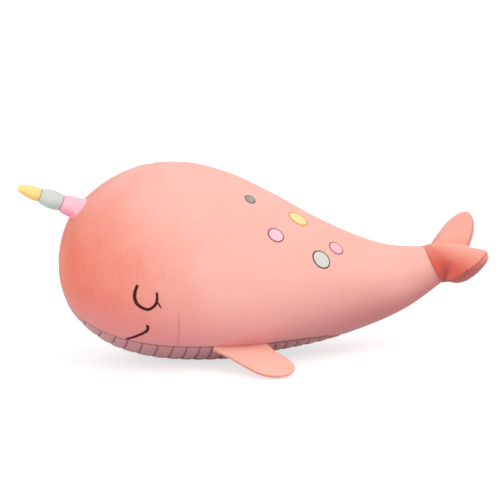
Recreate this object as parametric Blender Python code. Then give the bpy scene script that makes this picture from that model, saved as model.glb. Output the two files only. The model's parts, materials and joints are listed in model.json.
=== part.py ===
"""A plush narwhal lying on its belly, head towards -X and tail towards +X.

The origin is the middle of the flat patch that the belly rests on. The skins are sewn panels
over a stuffed core, and the horn, the two flippers and the fluke turn a little at their seams.
"""

import math

import bmesh
import bpy
import numpy as np
from mathutils import Matrix, Vector

for old in list(bpy.data.objects):
    bpy.data.objects.remove(old, do_unlink=True)

# Driving sizes, in metres
BODY_LENGTH = 0.504
BODY_HEIGHT = 0.259
BODY_WIDTH = 0.244
CLOTH = 0.002
SEAM_GAP = 0.0003
REST_CUT = 0.0005
OVERRUN = 0.004
MERGE = 0.000002

TAIL_TILT = math.radians(26)
BELLY_ANGLE = math.radians(43)
BELLY_ROUNDNESS = 2.3
SIDE_ROUNDNESS = 2.0

# Stations of the body: distance behind the nose as a share of its length, height of the
# middle and half height as shares of its height, width as a share of its width, tilt share
body_shares = (
    (0.000, 0.490, 0.000, 0.000, 0.00),
    (0.028, 0.501, 0.223, 0.520, 0.00),
    (0.108, 0.506, 0.384, 0.790, 0.00),
    (0.212, 0.513, 0.472, 0.945, 0.00),
    (0.330, 0.504, 0.495, 1.000, 0.00),
    (0.444, 0.474, 0.467, 0.970, 0.00),
    (0.557, 0.433, 0.400, 0.870, 0.00),
    (0.670, 0.388, 0.324, 0.700, 0.05),
    (0.780, 0.366, 0.250, 0.500, 0.20),
    (0.890, 0.376, 0.179, 0.320, 0.60),
    (1.000, 0.431, 0.105, 0.185, 1.00),
)
TAIL_STATION = len(body_shares) - 1

# The belly panel's edge: station, and the panel's half angle as a share of its widest
belly_edge_shares = (
    (0.62, 0.00),
    (0.95, 0.33),
    (1.20, 0.56),
    (1.45, 0.72),
    (1.84, 0.84),
    (2.20, 0.90),
    (3.00, 0.955),
    (4.25, 1.00),
    (5.60, 0.98),
    (6.50, 0.945),
    (7.00, 0.86),
    (7.40, 0.60),
    (7.70, 0.00),
)
BELLY_FRONT = belly_edge_shares[0][0]
BELLY_BACK = belly_edge_shares[-1][0]

# Where the rings of points lie, in stations, and how the belly is divided across
NOSE_RINGS = (0, 0.18, 0.4)
CHEST_RINGS = (0.62, 0.95, 1.2, 1.45, 1.84, 2.2, 2.6, 3.0, 3.4, 3.85)
REST_RINGS = (4.25, 4.55, 4.85, 5.2, 5.6, 6.05, 6.5, 7.0, 7.4, 7.7)
TAIL_RINGS = (8.2, 8.7, 9.2, 9.6, TAIL_STATION)
rings = NOSE_RINGS + CHEST_RINGS + REST_RINGS + TAIL_RINGS
belly_line_shares = (-1, -0.7, -0.4, -0.14, 0.14, 0.4, 0.7, 1)
TIP_PULL_SHARE = 0.15
TIP_NARROW_SHARE = 0.75
SIDE_STEPS = 12


def curve_through(values, place, odd_at_start):
    """The smooth curve through evenly spaced values, at a place counted in values."""
    first = 2 * values[0] - values[1] if odd_at_start else values[1]
    points = [first, *values, 2 * values[-1] - values[-2]]
    place = min(max(place, 0), len(values) - 1)
    i = min(int(place), len(values) - 2)
    f = place - i
    a, b, c, d = points[i : i + 4]
    return 0.5 * (
        2 * b + (c - a) * f + (2 * a - 5 * b + 4 * c - d) * f**2 + (3 * b - a - 3 * c + d) * f**3
    )


def ring_sizes(station):
    along, middle, half, width, tilt = (
        curve_through([row[i] for row in body_shares], station, i in (2, 3)) for i in range(5)
    )
    return (
        along * BODY_LENGTH,
        middle * BODY_HEIGHT,
        half * BODY_HEIGHT,
        width * BODY_WIDTH / 2,
        tilt * TAIL_TILT,
    )


def raw_surface(station, angle):
    """A point of the right side, with the nose at x = 0. Angle 0 faces out, 90 degrees up."""
    along, middle, half_height, half_width, tilt = ring_sizes(station)
    power = BELLY_ROUNDNESS if math.sin(angle) < 0 else SIDE_ROUNDNESS
    out, up = math.cos(angle), math.sin(angle)
    reach = (abs(out) ** power + abs(up) ** power) ** (-1 / power)
    rise = half_height * up * reach
    return Vector(
        (
            along - rise * math.sin(tilt),
            half_width * out * reach,
            middle + rise * math.cos(tilt),
        )
    )


# The body is lowered until the belly's lowest stretch is cut flat by the depth of the cut
fine_stations = np.linspace(0, TAIL_STATION, 1001)
under_line = [raw_surface(station, -math.pi / 2) for station in fine_stations]
lowest = min(point.z for point in under_line)
resting = [point.x for point in under_line if point.z < lowest + REST_CUT]
NOSE_TO_REST = (resting[0] + resting[-1]) / 2
FLOOR_DROP = lowest + REST_CUT


def surface(station, angle):
    return raw_surface(station, angle) - Vector((NOSE_TO_REST, 0, FLOOR_DROP))


def surface_normal(station, angle):
    if station < 1e-6:
        return Vector((-1, 0, 0))
    step = 1e-3
    along = surface(station + step, angle) - surface(station - step, angle)
    around = surface(station, angle + step) - surface(station, angle - step)
    return around.cross(along).normalized()


def skin_point(station, angle, depth):
    """A point of the right side, a depth under the surface. A negative depth lies above it."""
    point = surface(station, angle) - depth * surface_normal(station, angle)
    point.z = max(point.z, 0)
    return point


def ring_radius(station, angle):
    step = 1e-3
    return (surface(station, angle + step) - surface(station, angle - step)).length / (2 * step)


def belly_half_angle(station):
    stations = [row[0] for row in belly_edge_shares]
    shares = [row[1] for row in belly_edge_shares]
    return BELLY_ANGLE * float(np.interp(station, stations, shares))


fine_places = [ring_sizes(station)[0] for station in fine_stations]


def station_at(along):
    """The station at a distance behind the nose."""
    return float(np.interp(along, fine_places, fine_stations))


def mirrored(point, side):
    return Vector((point.x, point.y * side, point.z))


def fabric(name, colour, roughness=0.85):
    material = bpy.data.materials.new(name)
    material.use_nodes = True
    shader = material.node_tree.nodes["Principled BSDF"]
    shader.inputs["Base Color"].default_value = (*colour, 1)
    shader.inputs["Roughness"].default_value = roughness
    shader.inputs["Metallic"].default_value = 0
    return material


def add_node(name, mesh_points, colour, pivot=None):
    """Turns a bmesh in world coordinates into a named object, on its joint's empty if it has one."""
    bmesh.ops.remove_doubles(mesh_points, verts=mesh_points.verts, dist=MERGE)
    bmesh.ops.recalc_face_normals(mesh_points, faces=mesh_points.faces)
    mesh = bpy.data.meshes.new(name)
    mesh_points.to_mesh(mesh)
    mesh_points.free()
    node = bpy.data.objects.new(name, mesh)
    bpy.context.collection.objects.link(node)
    mesh.materials.append(fabric(name, colour))
    mesh.shade_smooth()
    mesh.set_sharp_from_angle(angle=math.radians(40))
    if pivot is not None:
        mesh.transform(Matrix.Translation(-pivot.location))
        node.parent = pivot
    return node


def add_joint(name, place):
    joint = bpy.data.objects.new(name, None)
    bpy.context.collection.objects.link(joint)
    joint.location = place
    joint.empty_display_size = CLOTH
    bpy.context.view_layer.update()
    return joint


def faces_between(target, rows, closed):
    """Triangles between neighbouring rows of vertices, all split the same way."""
    for one, two in zip(rows, rows[1:]):
        count = len(one) if closed else len(one) - 1
        for i in range(count):
            j = (i + 1) % len(one)
            target.faces.new((one[i], one[j], two[j]))
            target.faces.new((one[i], two[j], two[i]))


def shell_between(outer, inner):
    """A closed sheet between two matching grids of points."""
    sheet = bmesh.new()
    top = [[sheet.verts.new(point) for point in row] for row in outer]
    low = [[sheet.verts.new(point) for point in row] for row in inner]
    faces_between(sheet, top, False)
    faces_between(sheet, low, False)
    faces_between(sheet, [top[0], low[0]], False)
    faces_between(sheet, [top[-1], low[-1]], False)
    faces_between(sheet, [[row[0] for row in top], [row[0] for row in low]], False)
    faces_between(sheet, [[row[-1] for row in top], [row[-1] for row in low]], False)
    return sheet


def loft(loops):
    """A closed solid through closed loops of points, capped at both ends."""
    solid = bmesh.new()
    rows = [[solid.verts.new(point) for point in loop] for loop in loops]
    faces_between(solid, rows, True)
    for row in (rows[0], rows[-1]):
        if (row[0].co - row[len(row) // 2].co).length > MERGE:
            solid.faces.new(row)
    return solid


def cut(node, cutter, operation="DIFFERENCE"):
    boolean = node.modifiers.new(f"{operation.lower()}_{cutter.name}", "BOOLEAN")
    boolean.operation = operation
    boolean.solver = "EXACT"
    boolean.object = cutter


def hide_cutter(cutter):
    cutter.hide_render = True
    cutter.display_type = "WIRE"
    return cutter


# Colours, linear
CORAL = (0.93, 0.42, 0.33)
MAUVE = (0.42, 0.25, 0.26)
FILLING = (0.9, 0.88, 0.84)
THREAD_DARK = (0.06, 0.01, 0.012)
PINK = (0.95, 0.5, 0.63)
MINT = (0.66, 0.74, 0.7)
YELLOW = (0.92, 0.68, 0.18)

# Body: two side panels, a belly panel and the stuffing inside them


def side_grid(side, depth):
    """The points of a side panel, from the seam along the back to the belly's seam."""
    rows = []
    for station in rings:
        bottom = belly_half_angle(station) - math.pi / 2
        row = []
        for i in range(SIDE_STEPS + 1):
            angle = math.pi / 2 + (bottom - math.pi / 2) * i / SIDE_STEPS
            if i == SIDE_STEPS and bottom > -math.pi / 2:
                angle += SEAM_GAP / 2 / ring_radius(station, angle)
            point = skin_point(station, angle, depth)
            point.y = max(point.y, SEAM_GAP / 2)
            row.append(mirrored(point, side))
        rows.append(row if side > 0 else row[::-1])
    return rows


def belly_grid(depth):
    """The points of the belly panel, which ends in a narrow tip under the chin and the tail."""
    under = [ring for ring in rings if BELLY_FRONT <= ring <= BELLY_BACK]
    rows = []
    for station in under:
        inward = {BELLY_FRONT: under[1], BELLY_BACK: under[-2]}.get(station)
        row = []
        for share in reversed(belly_line_shares):
            if inward:
                off = abs(share) * TIP_NARROW_SHARE * belly_half_angle(inward)
                tip = skin_point(station, -math.pi / 2, depth)
                point = tip.lerp(skin_point(inward, off - math.pi / 2, depth), TIP_PULL_SHARE)
            else:
                off = abs(share) * belly_half_angle(station)
                if abs(share) == 1:
                    off -= SEAM_GAP / 2 / ring_radius(station, off - math.pi / 2)
                point = skin_point(station, off - math.pi / 2, depth)
            row.append(mirrored(point, 1 if share > 0 else -1))
        rows.append(row)
    return rows


body_skins = {}
for side, label in ((-1, "left"), (1, "right")):
    skin = shell_between(side_grid(side, 0), side_grid(side, CLOTH))
    body_skins[label] = add_node(f"body_side_{label}", skin, CORAL)
belly_panel = add_node("belly_panel", shell_between(belly_grid(0), belly_grid(CLOTH)), MAUVE)

stuffing_loops = []
for station in rings:
    bottom = belly_half_angle(station) - math.pi / 2
    sweep = [
        math.pi / 2 + (bottom - math.pi / 2) * i / SIDE_STEPS for i in range(SIDE_STEPS + 1)
    ]
    right = [skin_point(station, angle, CLOTH + SEAM_GAP) for angle in sweep]
    belly = [
        mirrored(
            skin_point(
                station,
                abs(share) * belly_half_angle(station) - math.pi / 2,
                CLOTH + SEAM_GAP,
            ),
            1 if share > 0 else -1,
        )
        for share in reversed(belly_line_shares[1:-1])
    ]
    left = [mirrored(point, -1) for point in reversed(right[1:])]
    stuffing_loops.append(right + belly + left)
body_stuffing = add_node("body_stuffing", loft(stuffing_loops), FILLING)

# Horn: three bands round a core, seated in the head by a ball end
HORN_ALONG = 0.0246
HORN_LENGTH = 0.0799
HORN_RISE = math.radians(21.3)
HORN_BALL = 0.017
HORN_SEAT = 0.002
HORN_OPENING = math.radians(15)
HORN_STEPS = 16
PINK_END = 0.0213
MINT_END = 0.0505

# Distance from the head along the horn and radius, from the base to just before the tip
HORN_BASE_RADIUS = 0.0125
PINK_BULGE = 0.013
PINCH_ONE = 0.0105
MINT_BULGE = 0.0118
PINCH_TWO = 0.0083
YELLOW_BULGE = 0.0087
tip_shares = ((0.22, 1.0), (0.48, 0.84), (0.72, 0.62), (0.9, 0.4), (1.0, 0.0))

horn_axis = Vector((-math.cos(HORN_RISE), 0, math.sin(HORN_RISE)))
horn_seat_point = surface(station_at(HORN_ALONG), math.pi / 2)
horn_centre = horn_seat_point + horn_axis * HORN_SEAT
horn_joint = add_joint("horn_joint", horn_centre)
ball_edge = math.sqrt(HORN_BALL**2 - HORN_BASE_RADIUS**2)


def ball_arc(radius, first, last, steps):
    """Points of a ball about the joint: distance along the horn, and radius."""
    angles = [first + (last - first) * i / steps for i in range(steps + 1)]
    return [(-radius * math.cos(angle), radius * math.sin(angle)) for angle in angles]


def horn_turned(profile):
    """Turns a closed outline of (distance, radius) about the horn's axis."""
    across = Vector((0, 1, 0))
    up = horn_axis.cross(across)
    solid = bmesh.new()
    rows = []
    for distance, radius in profile:
        row = []
        for i in range(HORN_STEPS):
            angle = 2 * math.pi * i / HORN_STEPS
            spoke = across * math.cos(angle) + up * math.sin(angle)
            row.append(solid.verts.new(horn_centre + horn_axis * distance + spoke * radius))
        rows.append(row)
    faces_between(solid, rows + [rows[0]], True)
    return solid


def bulge(start, end, base, middle, top, steps):
    """Radii that swell between two stitched ends."""
    points = []
    for i in range(steps + 1):
        share = i / steps
        straight = base + (top - base) * share
        swell = (middle - (base + top) / 2) * math.sin(math.pi * share)
        points.append((start + (end - start) * share, straight + swell))
    return points


def thinner(profile, by):
    return [(distance, max(radius - by, 0)) for distance, radius in profile]


ball_end_angle = math.pi - math.asin(HORN_BASE_RADIUS / HORN_BALL)
pink_end = PINK_END - HORN_SEAT
mint_end = MINT_END - HORN_SEAT
pink_tube = bulge(
    ball_edge, pink_end - SEAM_GAP / 2, HORN_BASE_RADIUS, PINK_BULGE, PINCH_ONE, 4
)
mint_tube = bulge(
    pink_end + SEAM_GAP / 2, mint_end - SEAM_GAP / 2, PINCH_ONE, MINT_BULGE, PINCH_TWO, 5
)
yellow_start = mint_end + SEAM_GAP / 2
yellow_length = HORN_LENGTH - MINT_END
yellow_outside = [(yellow_start, PINCH_TWO)] + [
    (yellow_start + yellow_length * along, YELLOW_BULGE * radius) for along, radius in tip_shares
]


def shortened(profile, by):
    """The outline of a closed tip, offset inwards."""
    inner = thinner(profile[:-1], by)
    distance, _ = profile[-1]
    return inner + [(distance - by, 0)]


ball_outside = ball_arc(HORN_BALL, HORN_OPENING, ball_end_angle, 7)
ball_inside = ball_arc(HORN_BALL - CLOTH, HORN_OPENING, ball_end_angle, 7)
pink_profile = (
    ball_outside[:-1] + pink_tube + thinner(pink_tube, CLOTH)[:0:-1] + ball_inside[-2::-1]
)
add_node("horn_band_pink", horn_turned(pink_profile), PINK, horn_joint)
add_node("horn_band_mint", horn_turned(mint_tube + thinner(mint_tube, CLOTH)[::-1]), MINT, horn_joint)
yellow_inside = shortened(yellow_outside, CLOTH)
add_node("horn_band_yellow", horn_turned(yellow_outside + yellow_inside[::-1]), YELLOW, horn_joint)

core_depth = CLOTH + SEAM_GAP
core_profile = (
    ball_arc(HORN_BALL - core_depth, 0, ball_end_angle, 8)[:-2]
    + thinner(pink_tube, core_depth)[1:]
    + thinner(mint_tube, core_depth)[1:-1]
    + shortened(yellow_outside, core_depth)
)
core_loops = []
for distance, radius in core_profile:
    spokes = [2 * math.pi * i / HORN_STEPS for i in range(HORN_STEPS)]
    horn_up = horn_axis.cross(Vector((0, 1, 0)))
    core_loops.append(
        [
            horn_centre
            + horn_axis * distance
            + radius * (Vector((0, math.cos(a), 0)) + horn_up * math.sin(a))
            for a in spokes
        ]
    )
add_node("horn_stuffing", loft(core_loops), FILLING, horn_joint)

bpy.ops.mesh.primitive_uv_sphere_add(
    segments=24, ring_count=14, radius=HORN_BALL + SEAM_GAP, location=horn_centre
)
horn_socket = hide_cutter(bpy.context.object)
horn_socket.name = "horn_socket_cutter"
for node in (body_skins["left"], body_skins["right"], body_stuffing):
    cut(node, horn_socket)

# Fluke: an upper and a lower panel round a core that turns in the tail's hollow end
FLUKE_TURN_RADIUS = 0.038
FLUKE_LENGTH = 0.049
FLUKE_HALF_SPAN = 0.071
FLUKE_PITCH = math.radians(25)
FLUKE_ROLL = math.radians(8)
LOBE_LIFT = math.radians(4.5)
FLUKE_YAW = math.radians(11.7)
FLUKE_SEAM_ANGLE = math.radians(-63)
NEAR_LEAD_BOW = 0.013
FAR_LEAD_BOW = 0.018
FAR_TRAIL_BOW = 0.015
UPPER_BULGE = 0.014
LOWER_BULGE = 0.015
LOBE_RIM = 0.0016
KEEPER_STEPS = 24

# Trailing edge from the notch round the tip: how far out and how far back, of the half span
across_shares = (0, 0.18, 0.38, 0.56, 0.72, 0.84, 0.93, 1)
trail_out_shares = (0, 0.22, 0.45, 0.66, 0.84, 0.95, 1, 0.975)
trail_back_shares = (0, 0.04, 0.11, 0.2, 0.25, 0.21, 0.08, -0.08)

# Places along the fluke from its seam to its trailing edge
chord_shares = (0, 0.12, 0.28, 0.45, 0.62, 0.78, 0.9, 1)

# How round the lobes are from root to trailing edge and from edge to edge
ROOT_ROUNDNESS = 0.9
TRAIL_ROUNDNESS = 0.6
LOBE_ROUNDNESS = 0.55
LOBE_FLATNESS = 3
centre_swell_share = 0.25

_, _, NECK_HALF, NECK_SIDE, tail_tilt = ring_sizes(TAIL_STATION)
tail_top = surface(TAIL_STATION, math.pi / 2)
tail_bottom = surface(TAIL_STATION, -math.pi / 2)
fluke_root = (tail_top + tail_bottom) / 2
tail_back = Vector((math.cos(tail_tilt), 0, math.sin(tail_tilt)))
tail_up = Vector((-math.sin(tail_tilt), 0, math.cos(tail_tilt)))
FLUKE_AXIS_BACK = math.sqrt(FLUKE_TURN_RADIUS**2 - NECK_HALF**2)
NECK_REACH = FLUKE_TURN_RADIUS - FLUKE_AXIS_BACK + OVERRUN
fluke_pivot = fluke_root + tail_back * FLUKE_AXIS_BACK
fluke_joint = add_joint("fluke_joint", fluke_pivot)

# The lobes' plane passes through the notch, tilted up, rolled and turned a little to one side
notch = fluke_root + tail_back * FLUKE_LENGTH
level_back = tail_back * math.cos(FLUKE_PITCH) + tail_up * math.sin(FLUKE_PITCH)
level_up = tail_up * math.cos(FLUKE_PITCH) - tail_back * math.sin(FLUKE_PITCH)
rolled_out = Vector((0, math.cos(FLUKE_ROLL), 0)) + level_up * math.sin(FLUKE_ROLL)
fluke_up = level_up * math.cos(FLUKE_ROLL) - Vector((0, math.sin(FLUKE_ROLL), 0))
fluke_out = rolled_out * math.cos(FLUKE_YAW) + level_back * math.sin(FLUKE_YAW)
fluke_back = level_back * math.cos(FLUKE_YAW) - rolled_out * math.sin(FLUKE_YAW)
across_places = [-share for share in reversed(across_shares[1:])] + list(across_shares)
chord_places = (-1, -0.5, *chord_shares)
fluke_seam_point = skin_point(TAIL_STATION, FLUKE_SEAM_ANGLE, 0)


def neck_point(ahead, across, upper, depth):
    """A point round the tail's end, or ahead of it, on the part that one panel covers."""
    station = station_at(BODY_LENGTH - ahead)
    if upper:
        angle = math.pi / 2 - abs(across) * (math.pi / 2 - FLUKE_SEAM_ANGLE)
    else:
        angle = -math.pi / 2 + abs(across) * (math.pi / 2 + FLUKE_SEAM_ANGLE)
    if abs(across) == 1:
        angle += SEAM_GAP / 2 / ring_radius(station, angle) * (1 if upper else -1)
    return mirrored(skin_point(station, angle, depth), 1 if across > 0 else -1)


def fluke_middle(chord, across):
    """A point of the surface that the fluke's seams lie on, between the two panels."""
    out = float(np.interp(abs(across), across_shares, trail_out_shares)) * FLUKE_HALF_SPAN
    back = float(np.interp(abs(across), across_shares, trail_back_shares)) * FLUKE_HALF_SPAN
    lead_bow = FAR_LEAD_BOW if across > 0 else NEAR_LEAD_BOW
    if across > 0:
        back += FAR_TRAIL_BOW * math.sin(math.pi * across**0.8)
    trail = notch + fluke_out * math.copysign(out, across) + fluke_back * back
    trail += fluke_up * out * math.tan(LOBE_LIFT)
    bow = fluke_back * math.sin(math.pi * chord**1.5) * lead_bow * across**2
    return mirrored(fluke_seam_point, across).lerp(trail, chord) - bow


def fluke_outside(chord, across, upper):
    """A point of the fluke's upper or lower skin."""
    if chord <= 0:
        return neck_point(-chord * NECK_REACH, across, upper, 0)
    neck = neck_point(0, across, upper, 0) - mirrored(fluke_seam_point, across)
    lift = SEAM_GAP / 2
    if abs(across) < 1 and chord < 1:
        roundness = ROOT_ROUNDNESS if chord < 0.5 else TRAIL_ROUNDNESS
        swell = (4 * chord * (1 - chord)) ** roundness
        swell *= (1 - abs(across) ** LOBE_FLATNESS) ** LOBE_ROUNDNESS
        fullness = min(abs(across) / across_shares[2], 1)
        swell *= centre_swell_share + (1 - centre_swell_share) * fullness
        lift = LOBE_RIM + (UPPER_BULGE if upper else LOWER_BULGE) * swell
    side = fluke_up * (lift if upper else -lift)
    return fluke_middle(chord, across) + neck * (1 - chord) + side


def fluke_grid(upper, depth):
    """The points of one panel's outside, or of the surface at a depth inside it."""
    outside = [[fluke_outside(chord, across, upper) for across in across_places] for chord in chord_places]
    if depth == 0:
        return outside
    grid = []
    for row, chord in enumerate(chord_places):
        inside = []
        for column, across in enumerate(across_places):
            if chord <= 0:
                inside.append(neck_point(-chord * NECK_REACH, across, upper, depth))
                continue
            middle = fluke_middle(chord, across)
            point = outside[row][column]
            if abs(across) == 1 or chord == 1:
                inward = Vector((0, 0, 0))
                if abs(across) == 1:
                    inner = fluke_middle(chord, math.copysign(across_shares[-3], across))
                    inward += (inner - middle).normalized()
                if chord == 1:
                    inward += (fluke_middle(chord_shares[-3], across) - middle).normalized()
                inside.append(point + inward.normalized() * depth)
                continue
            along = outside[row + 1][column] - outside[row - 1][column]
            sideways = outside[row][column + 1] - outside[row][column - 1]
            inward = along.cross(sideways).normalized() * (-1 if upper else 1)
            room = (point - middle).length - SEAM_GAP / 2 - (core_depth - depth)
            inside.append(point + inward * min(depth, room))
        grid.append(inside)
    return grid


nose_outline = [(FLUKE_AXIS_BACK, BODY_WIDTH)]
for i in range(KEEPER_STEPS + 1):
    angle = math.pi / 2 + math.pi * i / KEEPER_STEPS
    nose_back = FLUKE_AXIS_BACK + FLUKE_TURN_RADIUS * math.cos(angle)
    nose_outline.append((nose_back, FLUKE_TURN_RADIUS * math.sin(angle)))
nose_outline += [(FLUKE_AXIS_BACK, -BODY_WIDTH), (BODY_WIDTH, -BODY_WIDTH), (BODY_WIDTH, BODY_WIDTH)]
nose_loops = [
    [fluke_root + tail_back * x + tail_up * z + Vector((0, across, 0)) for x, z in nose_outline]
    for across in (-BODY_WIDTH, BODY_WIDTH)
]
fluke_nose = hide_cutter(add_node("fluke_nose_cutter", loft(nose_loops), FILLING))
for label in ("upper", "lower"):
    upper = label == "upper"
    skin = shell_between(fluke_grid(upper, 0), fluke_grid(upper, CLOTH))
    cut(add_node(f"fluke_{label}", skin, CORAL, fluke_joint), fluke_nose, "INTERSECT")
core_sheets = [
    [row[3:-3] for row in fluke_grid(upper, core_depth)[:-1]] for upper in (True, False)
]
fluke_core = add_node("fluke_stuffing", shell_between(*core_sheets), FILLING, fluke_joint)
cut(fluke_core, fluke_nose, "INTERSECT")

bpy.ops.mesh.primitive_cylinder_add(
    vertices=64,
    radius=FLUKE_TURN_RADIUS + SEAM_GAP,
    depth=BODY_WIDTH,
    location=fluke_pivot,
    rotation=(math.pi / 2, 0, 0),
)
fluke_hollow = hide_cutter(bpy.context.object)
fluke_hollow.name = "fluke_hollow_cutter"
for node in (body_skins["left"], body_skins["right"], body_stuffing):
    cut(node, fluke_hollow)

# Flippers: an upper and a lower panel round a core, and the rolled seam that joins each to the belly
FLIPPER_FRONT = 0.184
FLIPPER_ROOT = 0.072
FLIPPER_SPAN = 0.0733
FLIPPER_DROOP = math.radians(18)
FLIPPER_HALF_DEPTH = 0.0068
ROOT_HALF = 0.0023
ROOT_SEAM_RADIUS = 0.003
ROOT_OUT = 0.0012
FLIPPER_RIM = 0.0014
FLIPPER_COLUMNS = 8

# Along the span: share of it, middle of the chord and half the chord as shares of the root
flipper_shares = (
    (0.045, 0.03, 0.490),
    (0.12, 0.06, 0.470),
    (0.22, 0.11, 0.455),
    (0.40, 0.195, 0.445),
    (0.58, 0.28, 0.435),
    (0.72, 0.325, 0.405),
    (0.83, 0.34, 0.350),
    (0.91, 0.35, 0.280),
    (0.965, 0.36, 0.200),
    (1.00, 0.365, 0.105),
)


def flipper_frame(side):
    """The root line's middle, and the directions back along it, out along the blade and up."""
    front_station = station_at(FLIPPER_FRONT)
    back_station = station_at(FLIPPER_FRONT + FLIPPER_ROOT)
    middle_station = station_at(FLIPPER_FRONT + FLIPPER_ROOT / 2)
    ends = [
        surface(station, belly_half_angle(station) - math.pi / 2)
        for station in (front_station, back_station)
    ]
    angle = belly_half_angle(middle_station) - math.pi / 2
    normal = surface_normal(middle_station, angle)
    middle = surface(middle_station, angle) + normal * ROOT_OUT
    back = (ends[1] - ends[0]).normalized()
    flat_out = Vector((0, 0, 1)).cross(back).normalized()
    rise = back.cross(flat_out).normalized()
    out = flat_out * math.cos(FLIPPER_DROOP) - rise * math.sin(FLIPPER_DROOP)
    up = back.cross(out)
    return [mirrored(vector, side) for vector in (middle, back, out, up)]


def flipper_half_depth(span_share, chord_share):
    """Half the flipper's thickness, thin at the root and the rim and full between."""
    along = math.sin(math.pi * min(span_share + 0.06, 1)) ** 0.55 if span_share < 0.44 else 1
    tip = math.sqrt(max(1 - ((span_share - 0.44) / 0.56) ** 2, 0)) if span_share > 0.44 else 1
    across = math.sin(math.pi * chord_share) ** 0.6 if 0 < chord_share < 1 else 0
    full = FLIPPER_RIM + (FLIPPER_HALF_DEPTH - FLIPPER_RIM) * across * along * tip
    root_fade = max(1 - span_share / flipper_shares[3][0], 0)
    return full + (ROOT_HALF - full) * root_fade**2


def flipper_grid(frame, sign, depth_of):
    middle, back, out, up = frame
    grid = []
    for span_share, centre, half in flipper_shares:
        row = []
        for i in range(FLIPPER_COLUMNS + 1):
            chord = (1 - math.cos(math.pi * i / FLIPPER_COLUMNS)) / 2
            along = FLIPPER_ROOT * (centre + half * (2 * chord - 1))
            height = sign * depth_of(flipper_half_depth(span_share, chord))
            row.append(middle + back * along + out * span_share * FLIPPER_SPAN + up * height)
        grid.append(row)
    return grid


def panel_inside(half_depth):
    return max(half_depth - CLOTH, SEAM_GAP / 2)


def core_half(half_depth):
    return max(half_depth - CLOTH - SEAM_GAP, SEAM_GAP)


for side, label in ((-1, "left"), (1, "right")):
    frame = flipper_frame(side)
    root_middle, root_back, root_out, root_up = frame
    joint = add_joint(f"flipper_{label}_joint", root_middle)
    for sign, panel in ((1, "upper"), (-1, "lower")):
        outside = flipper_grid(frame, sign, lambda half: half)
        inside = flipper_grid(frame, sign, panel_inside)
        add_node(f"flipper_{label}_{panel}", shell_between(outside, inside), CORAL, joint)
    core_sheets = [
        [row[2:-2] for row in flipper_grid(frame, sign, core_half)[2:-2]] for sign in (1, -1)
    ]
    core = shell_between(*core_sheets)
    add_node(f"flipper_{label}_stuffing", core, FILLING, joint)
    turn = root_back.to_track_quat("Z", "Y").to_euler()
    bpy.ops.mesh.primitive_cylinder_add(
        vertices=16,
        radius=ROOT_SEAM_RADIUS,
        depth=FLIPPER_ROOT * 2 * flipper_shares[0][2],
        location=root_middle + root_back * flipper_shares[0][1] * FLIPPER_ROOT,
        rotation=turn,
    )
    roll = bpy.context.object
    roll.name = f"flipper_{label}_root_seam"
    roll.data.name = roll.name
    roll.data.materials.append(fabric(roll.name, CORAL))
    roll.data.shade_smooth()
    roll.data.set_sharp_from_angle(angle=math.radians(40))
    roll.parent = joint
    roll.matrix_parent_inverse = joint.matrix_world.inverted()
    bpy.ops.mesh.primitive_cylinder_add(
        vertices=16,
        radius=ROOT_SEAM_RADIUS + SEAM_GAP,
        depth=FLIPPER_ROOT * 2 * flipper_shares[0][2] + 2 * SEAM_GAP,
        location=root_middle + root_back * flipper_shares[0][1] * FLIPPER_ROOT,
        rotation=turn,
    )
    groove = hide_cutter(bpy.context.object)
    groove.name = f"flipper_{label}_groove_cutter"
    cut(body_skins[label], groove)
    cut(belly_panel, groove)

# Embroidery and sewn spots, laid on the skin
THREAD_WIDTH = 0.0036
THREAD_HEIGHT = 0.0012
LASH_WIDTH = 0.002
SPOT_HEIGHT = 0.001
EDGING_WIDTH = 0.0022
EDGING_HEIGHT = 0.0014
SPOT_STEPS = 14


def on_skin(along, angle, forward, rise, lift, side):
    """A point above the skin: moved back along the body and up round it from a marked place."""
    station = station_at(along + forward)
    turned = angle + rise / ring_radius(station, angle)
    return mirrored(skin_point(station, turned, -lift), side)


def smooth_path(points, steps):
    """Points evenly spaced in the curve's own measure through the marked ones."""
    last = len(points) - 1
    return [
        tuple(curve_through([point[i] for point in points], last * k / steps, True) for i in (0, 1))
        for k in range(steps + 1)
    ]


def stitched_line(name, place, path, width, height, colour, side, closed=False):
    """A raised line of stitches along a path of (back, up) distances from a place on the skin."""
    along, angle = place
    count = len(path)
    loops = []
    for i, (forward, rise) in enumerate(path):
        before = path[(i - 1) % count if closed else max(i - 1, 0)]
        after = path[(i + 1) % count if closed else min(i + 1, count - 1)]
        run = Vector((after[0] - before[0], after[1] - before[1])).normalized()
        out = Vector((-run.y, run.x)) * width / 2
        loop = []
        for across, lift in ((-1, 0), (1, 0), (0.7, 0.75), (0, 1), (-0.7, 0.75)):
            loop.append(
                on_skin(
                    along,
                    angle,
                    forward + out.x * across,
                    rise + out.y * across,
                    SEAM_GAP + lift * height,
                    side,
                )
            )
        loops.append(loop)
    if not closed:
        return add_node(name, loft(loops), colour)
    band = bmesh.new()
    rows = [[band.verts.new(point) for point in loop] for loop in loops]
    faces_between(band, rows + [rows[0]], True)
    return add_node(name, band, colour)


def scaled(shares, width, height):
    return [(x * width, y * height) for x, y in shares]


EYE_ALONG = 0.0956
EYE_ANGLE = math.radians(-20.5)
EYE_WIDTH = 0.0265
EYE_HEIGHT = 0.031
eye_shares = (
    (-0.48, 1.0),
    (-0.57, 0.71),
    (-0.57, 0.41),
    (-0.41, 0.15),
    (0.0, 0.0),
    (0.28, 0.15),
    (0.41, 0.36),
    (0.43, 0.55),
    (0.41, 0.77),
)
lash_shares = ((0.53, 0.27), (0.6, 0.17), (0.7, 0.09))

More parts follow.
